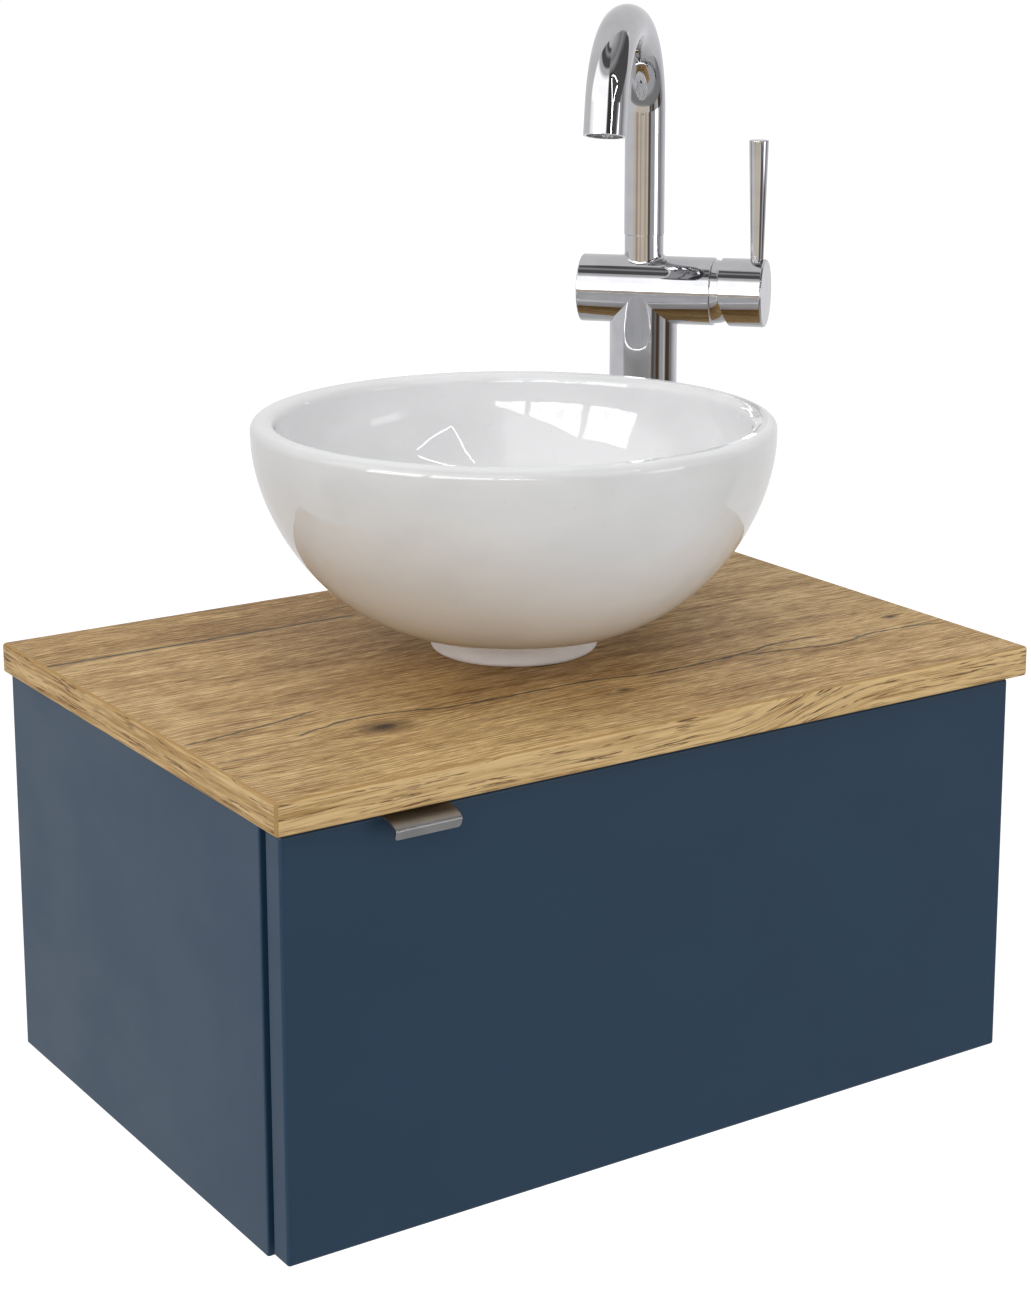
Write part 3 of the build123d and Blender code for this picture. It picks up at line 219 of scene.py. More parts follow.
# ---------------------------------------------------------------- wood
TOP_LIGHT = srgb(234, 202, 147)
TOP_MIDDLE = srgb(189, 153, 99)
TOP_DARK = srgb(122, 87, 47)
PORE = srgb(84, 58, 34)
CRACK = srgb(50, 47, 42)
SEAM_SHADE = srgb(96, 84, 70)
KNOT_CORE = srgb(52, 40, 30)
KNOT_HALO = srgb(118, 90, 58)
EDGE_LINE = srgb(178, 143, 90)
BAND_LIGHT = srgb(222, 190, 136)
BAND_DARK = srgb(172, 134, 82)
BAND_PORE = srgb(84, 54, 28)
CHIPBOARD = srgb(172, 140, 100)
CHIP = srgb(120, 90, 60)
BEECH = srgb(205, 170, 125)
BEECH_LIGHT = srgb(216, 184, 140)
BEECH_DARK = srgb(188, 150, 104)
BEECH_FLECK = srgb(140, 98, 62)
WOOD_SPECULAR = 0.26
# Raw board shows where the upright share of the normal falls from the second value to the first.
RAW_EDGE = (0.3, 0.6)

TOP_SWAY = Grain(0.0060, 0.013, 1.0, 0.45, 0.0)
TOP_SWAY_REACH = 16.0    # how far the whole grain wanders, in mm
# The layers that make up the top's tone, each with its weight.
TOP_PATCHES = Grain(0.008, 0.035, 3.0, 0.55, 0.0), 0.50
TOP_LINES = Grain(0.0040, 0.30, 4.0, 0.80, 5.0), 0.65
TOP_FIBRES = Grain(0.016, 0.80, 3.0, 0.85, 9.0), 1.25
TOP_FINE = Grain(0.055, 1.60, 2.0, 0.85, 14.0), 1.90
TOP_TONES = ((0.20, TOP_DARK), (0.50, TOP_MIDDLE), (0.80, TOP_LIGHT))
# Pores are the thin lines of one layer, broken by a second and thinned out by a third.
TOP_PORES = Grain(0.0055, 0.15, 1.0, 0.60, 21.0)
TOP_PORE_EDGE = (0.006, 0.030)
TOP_PORE_BREAKS = Grain(0.035, 0.40, 2.0, 0.60, 25.0)
TOP_PORE_BREAK_EDGE = (0.46, 0.56)
TOP_PORE_ZONES = Grain(0.010, 0.06, 2.0, 0.5, 30.0)
TOP_PORE_ZONE_EDGE = (0.40, 0.62)
TOP_PORE_DEPTH = (0.35, 0.25)    # darkness added in the zones, and everywhere
TOP_GLOSS = (0.60, 0.48)         # roughness of the dark and the light grain

# Painted shade of the basin on the top: the tone is darker round this point. Between the first two distances
# from it, in mm, its tone changes from the third value to the last.
BASIN_SHADE_CENTRE = (0.0, 70.0)
BASIN_SHADE = (90.0, 250.0, -0.100, 0.0)

# Behind a seam, from the left edge to SEAM_END, the board has another figure.
SEAM_Y = 112.0
SEAM_END = -30.0
SEAM_FADE = 6.0          # the figure changes over this length, ...
SEAM_LINE_FADE = 30.0    # ... and the line fades over this one
SEAM_SOFT = 0.2
# How far the coordinates of the noise are moved behind it, in mm, and the tone.
BEHIND_ALONG, BEHIND_ACROSS, BEHIND_TONE = 340.0, 90.0, -0.07
SEAM_SHADOW = (0.0, 5.0, 0.35, 0.0)      # distances from its line in mm, with the darkness at each
SEAM_SPLIT = (0.35, 1.4, 0.95, 0.0)

# Each crack is a line of (x, y) points in mm on the top, with its half width and how dark it is.
CRACKS = (
    (((-250, -62), (-222, -58), (-186, -52), (-162, -46), (-150, -44)), 1.15, 0.90),
    (((-194, -81), (-170, -74), (-149, -70), (-119, -74), (-87, -81), (-7, -82), (40, -90), (106, -86),
      (134, -81), (171, -84)), 1.20, 0.95),
    (((98, -90), (139, -97), (158, -101), (197, -95), (245, -102)), 1.25, 0.90),
    (((-249, -96), (-228, -98), (-208, -99)), 0.90, 0.75),
)
CRACK_MARGIN = 1.0       # room above and below the points in a crack's curve
CRACK_WANDER = 0.11, 3.6         # fineness per mm, and reach in mm
CRACK_SWELL = 0.06, 0.60, 1.5    # fineness per mm, and the narrowest and widest share of the half width
CRACK_SWELL_EDGE = (0.35, 0.7)
CRACK_SWELL_OFFSET = 40.0
CRACK_SOFT = 1.6         # half widths over which it fades
CRACK_START_FADE, CRACK_END_FADE = 8.0, 14.0

# Each knot has its centre, how far it bends the grain, and its dark core's half size, in mm.
KNOTS = (
    ((-144.0, -91.0), 17.0, 6.5),
    ((1.5, -107.5), 7.0, 1.8),
    ((226.0, -73.0), 8.0, 2.0),
)
KNOT_BEND_STRETCH = 2.2  # how much longer than wide the bent grain is, and the stain
KNOT_STAIN_STRETCH = 1.7
KNOT_PULL = 0.85
KNOT_RAGGED = (0.35, 0.5, 0.0), 0.9      # fineness per mm, and reach in core sizes
# Distances from the centre in core sizes, with the strength at each.
KNOT_HALO_RING = (0.8, 2.6), (0.85, 0.0)
KNOT_CORE_RING = (0.25, 1.05), (0.90, 0.0)

# The bands' own layers of noise; the sway's offset is the number of the band's axis.
BAND_SWAY = Grain(0.011, 0.03, 2.0, 0.5, 0.0)
BAND_SWAY_REACH = 5.5
BAND_SLOPE = -0.008
BAND_SWEEP = (20.0, 135.0, 0.0, -22.0)   # from x to x, the front band's figure climbs by this much, in mm
BAND_STREAKS = Grain(0.010, 0.22, 3.0, 0.6, 2.0)
BAND_FIBRES = Grain(0.020, 0.60, 3.0, 0.85, 6.0)
BAND_FIBRE_WEIGHT = 1.1
BAND_TONES = ((0.28, BAND_DARK), (0.66, BAND_LIGHT))
BAND_PORES = Grain(0.012, 0.40, 1.0, 0.60, 11.0)
BAND_PORE_EDGE = (0.010, 0.050)
BAND_PORE_BREAKS = Grain(0.065, 0.80, 2.0, 0.60, 25.0)
BAND_PORE_BREAK_EDGE = (0.42, 0.52)
BAND_PORE_ZONES = Grain(0.020, 0.20, 2.0, 0.5, 17.0)
BAND_PORE_ZONE_EDGE = (0.36, 0.56)
BAND_PORE_DEPTH = (0.45, 0.45)
BAND_GLOSS = (0.62, 0.50)
BAND_LINE_SHADE = (0.35, 0.65, 0.0, 0.35)
BAND_FACE = (0.5, 0.8)           # the edge line takes over between these upright shares of the normal
BAND_CORNER = (1.2, 1.8)         # and on the front band between these distances from the corner, in mm


def knot_distance(g, x, y, centre, stretch):
    """Distance from a knot's centre, with units longer along the grain, and its part across the grain."""
    dx = g.math("DIVIDE", g.math("SUBTRACT", x, centre[0]), stretch)
    dy = g.math("SUBTRACT", y, centre[1])
    return g.math("SQRT", g.math("ADD", g.math("MULTIPLY", dx, dx), g.math("MULTIPLY", dy, dy))), dy


def bent_round_knots(g, x, y):
    """The across coordinate, squeezed near each knot so that the grain flows round it."""
    bent = y
    for centre, reach, _ in KNOTS:
        distance, dy = knot_distance(g, x, y, centre, KNOT_BEND_STRETCH)
        share = g.math("DIVIDE", distance, reach)
        pull = g.math("EXPONENT", g.math("MULTIPLY", g.math("MULTIPLY", share, share), -1.0))
        bent = g.math("SUBTRACT", bent, g.math("MULTIPLY", dy, g.math("MULTIPLY", pull, KNOT_PULL)))
    return bent


def with_knots(g, x, y, colour):
    """The colour with each knot's halo and dark core."""
    fineness, reach = KNOT_RAGGED
    for centre, _, core in KNOTS:
        distance, _ = knot_distance(g, x, y, centre, KNOT_STAIN_STRETCH)
        ragged = g.swung(g.pattern(fineness, detail=3.0), core * reach, distance)
        for ring, stain in ((KNOT_HALO_RING, KNOT_HALO), (KNOT_CORE_RING, KNOT_CORE)):
            (near, far), (strong, weak) = ring
            colour = g.mix(g.between(ragged, core * near, core * far, strong, weak), colour, stain)
    return colour


def crack_mask(g, x, y, points, half_width):
    """1 along a crack's line and 0 away from it; the width and place wander a little."""
    xs = [p[0] for p in points]
    ys = [p[1] for p in points]
    start, reach = min(xs), max(xs) - min(xs)
    low, height = min(ys) - CRACK_MARGIN, max(ys) - min(ys) + 2 * CRACK_MARGIN
    share = g.math("DIVIDE", g.math("SUBTRACT", x, start), reach, clamp=True)
    line = g.curve(share, [((p[0] - start) / reach, (p[1] - low) / height) for p in points])
    middle = g.math("MULTIPLY_ADD", line, height, low)
    fineness, wander_reach = CRACK_WANDER
    wander = g.noise(g.joined(g.math("MULTIPLY", x, fineness), start), 3.0, 0.6)
    middle = g.swung(wander, wander_reach, middle)
    fineness, narrow, wide = CRACK_SWELL
    swell = g.noise(g.joined(g.math("MULTIPLY", x, fineness), CRACK_SWELL_OFFSET + low), 2.0)
    width = g.between(swell, *CRACK_SWELL_EDGE, half_width * narrow, half_width * wide)
    mask = g.math("SUBTRACT", 1.0, g.between(g.gap(y, middle), 0.0, g.math("MULTIPLY", width, CRACK_SOFT)))
    end = start + reach
    ends = g.math("MULTIPLY", g.between(x, start, start + CRACK_START_FADE),
                  g.between(x, end - CRACK_END_FADE, end, 1.0, 0.0))
    return g.math("MULTIPLY", mask, ends)


def pore_dashes(g, along, across, layers, edges, depth):
    """Short dark dashes along the grain; layers and edges are for the lines, their breaks and their zones."""
    lines, breaks, zones = (g.grain(along, across, layer) for layer in layers)
    line_edge, break_edge, zone_edge = edges
    dashes = g.math("MULTIPLY", g.between(g.gap(lines), *line_edge, 1.0, 0.0), g.between(breaks, *break_edge))
    return g.math("MULTIPLY", dashes, g.math("MULTIPLY_ADD", g.between(zones, *zone_edge), *depth))


def wood_top(name):
    """Oak-look laminate of the counter's faces, and raw chipboard on its unbanded back edge."""
    g = Finish(name, TOP_MIDDLE, Specular_IOR_Level=WOOD_SPECULAR)
    x, y, _ = g.split(g.place)
    behind = g.math("MULTIPLY", g.between(y, SEAM_Y - SEAM_SOFT, SEAM_Y + SEAM_SOFT),
                    g.between(x, SEAM_END - SEAM_FADE, SEAM_END, 1.0, 0.0))
    along = g.math("MULTIPLY_ADD", behind, BEHIND_ALONG, x)
    across = g.math("MULTIPLY_ADD", behind, BEHIND_ACROSS, bent_round_knots(g, x, y))
    across = g.swung(g.grain(along, across, TOP_SWAY), TOP_SWAY_REACH, across)

    tone, layers = 0.5, []
    for layer, weight in (TOP_PATCHES, TOP_LINES, TOP_FIBRES, TOP_FINE):
        layers.append(g.grain(along, across, layer))
        tone = g.swung(layers[-1], weight, tone)
    tone = g.math("MULTIPLY_ADD", behind, BEHIND_TONE, tone)
    # painted shade round the basin: the tone darkens near the point behind the basin's axis
    from_basin_shade_centre = g.node("ShaderNodeVectorMath", {0: g.joined(x, y), 1: (*BASIN_SHADE_CENTRE, 0.0)},
                         operation="DISTANCE").outputs["Value"]
    tone = g.math("ADD", tone, g.between(from_basin_shade_centre, *BASIN_SHADE))
    colour = g.ramp(tone, TOP_TONES)

    dashes = pore_dashes(g, along, across, (TOP_PORES, TOP_PORE_BREAKS, TOP_PORE_ZONES),
                         (TOP_PORE_EDGE, TOP_PORE_BREAK_EDGE, TOP_PORE_ZONE_EDGE), TOP_PORE_DEPTH)
    colour = with_knots(g, x, y, g.mix(dashes, colour, PORE))

    seam_gap = g.gap(y, SEAM_Y)
    on_seam = g.between(x, SEAM_END - SEAM_LINE_FADE, SEAM_END, 1.0, 0.0)
    colour = g.mix(g.math("MULTIPLY", g.between(seam_gap, *SEAM_SHADOW), on_seam), colour, SEAM_SHADE)
    splits = g.math("MULTIPLY", g.between(seam_gap, *SEAM_SPLIT), on_seam)
    for points, half_width, darkness in CRACKS:
        mask = crack_mask(g, x, y, points, half_width)
        splits = g.math("MAXIMUM", splits, g.math("MULTIPLY", mask, darkness))
    colour = g.mix(splits, colour, CRACK)

    chips = g.pattern((0.30, 1.0, 0.75), detail=3.0, roughness=0.65)
    board = g.ramp(chips, ((0.38, CHIP), (0.55, CHIPBOARD)))
    edge = g.between(g.math("ABSOLUTE", g.split(g.normal)[2]), *RAW_EDGE, 1.0, 0.0)
    g.set(Base_Color=g.mix(edge, colour, board), Roughness=g.spread(tone, *TOP_GLOSS))
    _, _, fibres, fine = layers
    height = g.math("SUBTRACT", g.math("MULTIPLY_ADD", fibres, 0.5, g.math("MULTIPLY", fine, 0.3)),
                    g.math("MAXIMUM", dashes, splits))
    g.raised(height, depth_mm=0.12, strength=0.8)
    return g.material


def wood_band(name, along_axis, painted_light_shift):
    """Edge banding: bold wavy pores on its outer face and a plain tan line where its edge shows."""
    g = Finish(name, BAND_LIGHT, Specular_IOR_Level=WOOD_SPECULAR)
    parts = g.split(g.place)
    along, up = parts[along_axis], parts[2]
    across = g.swung(g.grain(along, up, BAND_SWAY._replace(offset=along_axis)), BAND_SWAY_REACH, up)
    across = g.math("MULTIPLY_ADD", along, BAND_SLOPE, across)
    if along_axis == 0:
        across = g.math("ADD", across, g.between(along, *BAND_SWEEP))

    fibres = g.grain(along, across, BAND_FIBRES)
    # painted light and shade: the shift moves the whole band's tone up or down
    tone = g.swung(fibres, BAND_FIBRE_WEIGHT, g.math("ADD", g.grain(along, across, BAND_STREAKS), painted_light_shift))
    dashes = pore_dashes(g, along, across, (BAND_PORES, BAND_PORE_BREAKS, BAND_PORE_ZONES),
                         (BAND_PORE_EDGE, BAND_PORE_BREAK_EDGE, BAND_PORE_ZONE_EDGE), BAND_PORE_DEPTH)
    colour = g.mix(dashes, g.ramp(tone, BAND_TONES), BAND_PORE)

    plain = g.between(g.math("ABSOLUTE", g.split(g.normal)[2]), *BAND_FACE)
    if along_axis == 0:
        from_corner = g.math("ABSOLUTE", g.math("SUBTRACT", COUNTER_HALF, g.math("ABSOLUTE", parts[0])))
        plain = g.math("MAXIMUM", plain, g.between(from_corner, *BAND_CORNER, 1.0, 0.0))
    line = g.mix(g.between(fibres, *BAND_LINE_SHADE), EDGE_LINE, BAND_DARK)
    g.set(Base_Color=g.mix(plain, colour, line), Roughness=g.spread(tone, *BAND_GLOSS))
    g.raised(g.math("SUBTRACT", g.math("MULTIPLY", fibres, 0.5), dashes), depth_mm=0.10, strength=0.8)
    return g.material


def beech(name):
    """Dowels: pale beech with short dark flecks along the pin."""
    g = Finish(name, BEECH)
    fibres = g.pattern((0.12, 1.6, 1.6), detail=3.0, roughness=0.6)
    flecks = g.pattern((0.5, 2.6, 2.6), detail=1.0)
    colour = g.ramp(fibres, ((0.35, BEECH_DARK), (0.65, BEECH_LIGHT)))
    colour = g.mix(g.between(flecks, 0.62, 0.70, 0.0, 0.6), colour, BEECH_FLECK)
    g.set(Base_Color=colour, Roughness=g.spread(fibres, 0.65, 0.5))
    g.raised(fibres, depth_mm=0.08, strength=0.6)
    return g.material


# ---------------------------------------------------------------- lacquer
LACQUER = (0.0150, 0.0450, 0.0880, 1.0)
LACQUER_DEEP = (0.0135, 0.0420, 0.0830, 1.0)
LACQUER_SPECK = (0.0150, 0.0450, 0.0850, 1.0)
LACQUER_WORN = (0.0300, 0.0620, 0.1050, 1.0)
WEAR_RADIUS = 0.0012             # how far from an edge the coat is worn, in metres
WEAR = (0.90, 0.995, 0.30, 0.0)  # how much the rounded normal agrees with the flat one, and the wear at each


def blue_lacquer(name):
    """Satin-matt lacquer: an even coat with very fine texture and slightly uneven sheen."""
    g = Finish(name, LACQUER, IOR=1.5, Specular_IOR_Level=0.36)
    clouds = g.pattern((0.012, 0.012, 0.016), detail=3.0)
    peel = g.pattern(1.1)
    speck = g.pattern(2.6, detail=1.0)
    colour = g.mix(g.between(clouds, 0.35, 0.65), LACQUER_DEEP, LACQUER)
    colour = g.mix(g.between(speck, 0.55, 0.75, 0.0, 0.18), colour, LACQUER_SPECK)
    rounded = g.node("ShaderNodeBevel", {"Radius": WEAR_RADIUS}, samples=4).outputs[0]
    flat = g.node("ShaderNodeNewGeometry").outputs["Normal"]
    turn = g.node("ShaderNodeVectorMath", {0: rounded, 1: flat}, operation="DOT_PRODUCT").outputs["Value"]
    colour = g.mix(g.between(turn, *WEAR), colour, LACQUER_WORN)
    g.set(Base_Color=colour, Roughness=g.spread(clouds, 0.46, 0.40))
    g.raised(g.math("MULTIPLY_ADD", speck, 0.4, peel), depth_mm=0.012, strength=0.5)
    return g.material


# ---------------------------------------------------------------- metals
NICKEL_TONES = ((0.35, srgb(153, 152, 152)), (0.65, srgb(176, 175, 175)))
ZINC_TONES = ((0.25, srgb(168, 174, 180)), (0.7, srgb(208, 210, 210)))
CHROME = srgb(194, 194, 197)
CHROME_RANGE = srgb(190, 190, 194), srgb(198, 198, 200)
BRASS = srgb(200, 165, 95)
BRASS_TONES = ((0.35, srgb(170, 132, 76)), (0.62, srgb(222, 188, 118)))


def satin_nickel(name):
    """Brushed nickel: long fine strokes along X, soft sheen."""
    g = Finish(name, grey(0.5), Metallic=1.0)
    strokes = g.pattern((0.05, 5.0, 5.0), detail=3.0, roughness=0.6)
    tone = g.math("MULTIPLY_ADD", g.pattern(0.07), 0.4, g.math("MULTIPLY", strokes, 0.6))
    colour = g.ramp(tone, NICKEL_TONES)
    g.set(Base_Color=colour, Roughness=g.spread(strokes, 0.34, 0.46))
    g.raised(strokes, depth_mm=0.010, strength=0.6)
    return g.material


def zinc_steel(name):
    """Zinc plating: cool grey with faint crystals and a slightly uneven sheen."""
    g = Finish(name, grey(0.55), Metallic=1.0)
    cells = {"Vector": g.scaled(g.place, (0.45, 0.45, 0.45)), "Scale": 1.0}
    shade = g.split(g.node("ShaderNodeTexVoronoi", cells).outputs["Color"])[0]
    film = g.pattern(0.15, detail=3.0, roughness=0.6)
    tone = g.math("MULTIPLY_ADD", shade, 0.35, g.math("MULTIPLY", film, 0.65))
    colour = g.ramp(tone, ZINC_TONES)
    g.set(Base_Color=colour, Roughness=g.between(tone, 0.2, 0.7, 0.42, 0.28))
    g.raised(tone, depth_mm=0.010, strength=0.5)
    return g.material


def chrome_plate(name):
    """Bright chrome: nearly a mirror, with a trace of polish haze and water spots."""
    g = Finish(name, CHROME, Metallic=1.0)
    haze = g.pattern(0.06, detail=3.0, roughness=0.6)
    spots = g.pattern(0.35, detail=1.0)
    dull = g.math("MULTIPLY_ADD", g.between(spots, 0.70, 0.78), 0.015, g.spread(haze, 0.001, 0.008))
    g.set(Base_Color=g.mix(g.spread(haze), *CHROME_RANGE), Roughness=dull)
    g.raised(haze, depth_mm=0.006, strength=0.10)
    return g.material


def raw_brass(name):
    """Turned brass: fine rings from the lathe and a light tarnish."""
    g = Finish(name, BRASS, Metallic=1.0)
    rings = g.pattern((0.4, 0.4, 4.0))
    tarnish = g.pattern(0.12, detail=4.0, roughness=0.6)
    colour = g.ramp(tarnish, BRASS_TONES)
    g.set(Base_Color=colour, Roughness=g.spread(tarnish, 0.42, 0.24))
    g.raised(rings, depth_mm=0.015, strength=0.6)
    return g.material


# ---------------------------------------------------------------- ceramic
# Painted light and shade: one glaze, lighter inside the bowl and darker outside it, for how the light falls
# on each.
GLAZE_LIT_INSIDE = srgb(235, 235, 236), srgb(241, 241, 242)
GLAZE_SHADED_OUTSIDE = srgb(225, 225, 225), srgb(231, 231, 231)
GLAZE_PIN = srgb(200, 198, 192)
OUTWARD = (30.0, 120.0)          # mm out from the basin's axis along the normal: inner glaze, outer glaze
BISQUE = srgb(246, 244, 246), srgb(251, 250, 251)
BISQUE_GRAIN = srgb(236, 233, 230)


def glazed_white(name):
    """White glaze: glossy, whiter inside as painted light and darker outside as painted shade, with the slow
    ripple of a fired coat and rare pin holes.
    """
    g = Finish(name, grey(0.8), IOR=1.5, Specular_IOR_Level=0.5)
    clouds = g.pattern((0.014, 0.014, 0.02), detail=3.0)
    ripple = g.pattern(0.05, roughness=0.4)
    pins = g.pattern(0.9, detail=0.0)
    lit_inner, shaded_outer = (g.mix(g.between(clouds, 0.35, 0.65), *shades) for shades in (GLAZE_LIT_INSIDE, GLAZE_SHADED_OUTSIDE))
    x, y, _ = g.split(g.place)
    facing_x, facing_y, _ = g.split(g.normal)
    outward = g.math("ADD", g.math("MULTIPLY", g.math("SUBTRACT", x, BASIN_AXIS[0]), facing_x),
                     g.math("MULTIPLY", g.math("SUBTRACT", y, BASIN_AXIS[1]), facing_y))
    # painted shade: the outside of the bowl takes the darker glaze
    colour = g.mix(g.between(outward, *OUTWARD), lit_inner, shaded_outer)
    colour = g.mix(g.between(pins, 0.80, 0.83, 0.0, 0.35), colour, GLAZE_PIN)
    g.set(Base_Color=colour, Roughness=g.spread(clouds, 0.008, 0.022))
    g.raised(ripple, depth_mm=0.03, strength=0.20)
    return g.material


def unglazed_white(name):
    """The foot: fine matt bisque with a chalky grain."""
    g = Finish(name, grey(0.75), Specular_IOR_Level=0.3)
    grain = g.pattern(2.2, detail=3.0, roughness=0.6)
    colour = g.mix(g.spread(g.pattern((0.05, 0.05, 0.08))), *BISQUE)
    colour = g.mix(g.between(grain, 0.6, 0.75, 0.0, 0.25), colour, BISQUE_GRAIN)
    g.set(Base_Color=colour, Roughness=g.spread(grain, 0.72, 0.85))
    g.raised(grain, depth_mm=0.03, strength=0.5)
    return g.material


# ---------------------------------------------------------------- plastics and rubber
WHITE_PLASTIC = srgb(236, 236, 234), srgb(226, 226, 223)
GREY_PLASTIC = srgb(150, 152, 154), srgb(136, 138, 141)
RUBBER = srgb(30, 30, 31)
RUBBER_DUST = srgb(58, 57, 56)


def plastic(name, light, dark, gloss, grain_size):
    """Moulded plastic: slight flow marks, a fine texture and an uneven gloss."""
    g = Finish(name, light, IOR=1.47)
    flow = g.pattern((0.04, 0.04, 0.10), detail=3.0, roughness=0.6)
    g.set(Base_Color=g.mix(g.spread(flow), dark, light), Roughness=g.spread(flow, gloss + 0.06, gloss))
    g.raised(g.pattern(grain_size), depth_mm=0.012, strength=0.5)
    return g.material


def black_rubber(name):
    """Soft rubber: near black, with dusty bloom."""
    g = Finish(name, grey(0.03), Specular_IOR_Level=0.35)
    dust = g.pattern(0.6, detail=4.0, roughness=0.7)
    colour = g.mix(g.between(dust, 0.5, 0.8), RUBBER, RUBBER_DUST)
    g.set(Base_Color=colour, Roughness=g.spread(dust, 0.62, 0.82))
    g.raised(dust, depth_mm=0.03, strength=0.5)
    return g.material


SLOT_FINISH = {
    "wood_laminate": wood_top("oak_top"),
    "blue_lacquer": blue_lacquer("blue_lacquer_coat"),
    "beech": beech("beech_pin"),
    "satin_nickel": satin_nickel("satin_nickel_brushed"),
    "zinc_steel": zinc_steel("zinc_steel_plated"),
    "glazed_white": glazed_white("white_glaze"),
    "unglazed_white": unglazed_white("white_bisque"),
    "chrome_plate": chrome_plate("chrome_bright"),
    "raw_brass": raw_brass("brass_turned"),
    "white_plastic": plastic("plastic_white", *WHITE_PLASTIC, gloss=0.22, grain_size=0.8),
    "grey_plastic": plastic("plastic_grey", *GREY_PLASTIC, gloss=0.42, grain_size=1.6),
    "black_rubber": black_rubber("rubber_black"),
}
NODE_FINISH = {
    # Painted light and shade: the front band is lifted lighter and the side bands darker, for the light on
    # each face.
    "edge_band_front": wood_band("oak_band_front", along_axis=0, painted_light_shift=0.07),
    "edge_band_left": wood_band("oak_band_side", along_axis=1, painted_light_shift=-0.06),
}
NODE_FINISH["edge_band_right"] = NODE_FINISH["edge_band_left"]


def dress_nodes():
    """Gives every CAD node the finish of its slot, or its own where it has one."""
    for part in frame["record"]["subparts"]:
        name = part["node"]
        finish = NODE_FINISH.get(name, SLOT_FINISH[part["material_slot"]])
        mesh = NODES[name].data
        if not mesh.materials:
            mesh.materials.append(finish)
        for index in range(len(mesh.materials)):
            mesh.materials[index] = finish


# ---------------------------------------------------------------- studio
CHROME_SHARE = 0.55      # what chrome gives back of what it faces

# Levels of the room's surfaces, as polished surfaces see them. The room is a much simplified likeness of
# the one that the photograph's chrome reflects.
FLOOR_LEVEL = 0.30
LIT_FLOOR = 0.45
SHADOW = 0.16
WALL = 0.38
DAYLIGHT = 1.00
BEAM = 0.06
COVE = 0.24
CEILING = 0.42
# They follow each other by elevation in degrees, towards the wall with the bright window band, ...
WINDOW_WALL = (
    (-90, FLOOR_LEVEL), (-50, FLOOR_LEVEL), (-43, LIT_FLOOR), (-30, SHADOW), (-20, SHADOW), (-5, WALL),
    (6, WALL), (17, DAYLIGHT), (42, DAYLIGHT), (48, WALL), (53, WALL), (56, BEAM), (65, BEAM), (70, COVE),
    (74, BEAM), (77, BEAM), (80, CEILING), (90, CEILING),
)
# ... towards the darker part of the room at the front right, ...
DARK_WALL = (
    (-90, FLOOR_LEVEL), (-35, FLOOR_LEVEL), (-28, SHADOW), (-15, SHADOW), (0, FLOOR_LEVEL), (8, COVE),
    (12, BEAM), (45, BEAM), (55, COVE), (62, SHADOW), (70, COVE), (90, CEILING),
)
# ... and towards the light wall behind.
LIGHT_WALL = ((-90, FLOOR_LEVEL), (-60, FLOOR_LEVEL), (-30, LIT_FLOOR), (78, LIT_FLOOR), (90, CEILING))
WINDOW_WALL_END = -118.0  # azimuths at which one wall gives way to the next
DARK_WALL_END = -8.0
LIGHT_WALL_END = 143.0
CORNER = (-113.0, -93.0, 8.0, 47.0, 0.035)   # a dark upright: its azimuths, elevations and level
# The furniture along the horizon, in a few plain tones.
SHUTTER = srgb(180, 170, 155)
SHUTTER_GAP = srgb(150, 138, 122)
DOORWAY = srgb(78, 72, 66)
PLASTER = srgb(145, 145, 148)
PLASTER_SHADE = srgb(105, 105, 105)
WHITE_PANEL = srgb(250, 250, 250)
PALE_WALL = srgb(180, 180, 182)
LOW_CUPBOARD = srgb(66, 52, 38)
# They follow each other by azimuth in degrees counted from +X towards +Y, along the horizon ...
HORIZON_STRIPES = (
    (-180, SHUTTER), (-176, SHUTTER_GAP), (-166, SHUTTER_GAP), (-162, SHUTTER), (-154, SHUTTER),
    (-150, SHUTTER_GAP), (-142, SHUTTER), (-130, SHUTTER), (-120, SHUTTER_GAP), (-115, SHUTTER),
    (-108, SHUTTER), (-104, DOORWAY), (-95, DOORWAY), (-90, PLASTER), (-70, PLASTER), (-65, WHITE_PANEL),
    (-50, WHITE_PANEL), (-45, PLASTER), (-35, PLASTER), (-28, PLASTER_SHADE), (-18, PLASTER),
    (10, PALE_WALL), (160, PALE_WALL), (172, SHUTTER),
)
# ... and just below it.
LOW_STRIPES = (
    (-180, SHUTTER), (-115, SHUTTER), (-110, PALE_WALL), (-104, PALE_WALL), (-99, DOORWAY), (-92, DOORWAY),
    (-88, PLASTER_SHADE), (-82, LOW_CUPBOARD), (-75, LOW_CUPBOARD), (-68, PLASTER), (-58, PLASTER),
    (-52, PALE_WALL), (-45, LOW_CUPBOARD), (-30, LOW_CUPBOARD), (-25, PLASTER_SHADE), (-18, PLASTER_SHADE),
    (-10, PLASTER), (10, PALE_WALL), (170, PALE_WALL),
)
LOW_STRIPES_TOP = -8.0   # the elevation where the one row gives way to the other
STRIPES_BOTTOM = (-17.0, -14.0)  # elevations over which the stripes begin
STRIPES_TOP = -2.5       # the elevation where they end, ...
STRIPES_RISE = 12.0      # ... and how much higher that is on the dark wall
# How far an edge between two surfaces is soft to each side, in degrees.
EDGE_SOFT, LOW_SOFT, PANE_SOFT, CORNER_SOFT, DARK_SOFT, LIGHT_SOFT = 0.6, 0.4, 0.5, 1.5, 3.0, 4.0
WINDOW_GLOW = 5.0
WINDOW_START = -130.0    # azimuth to the left of which its top edge rises
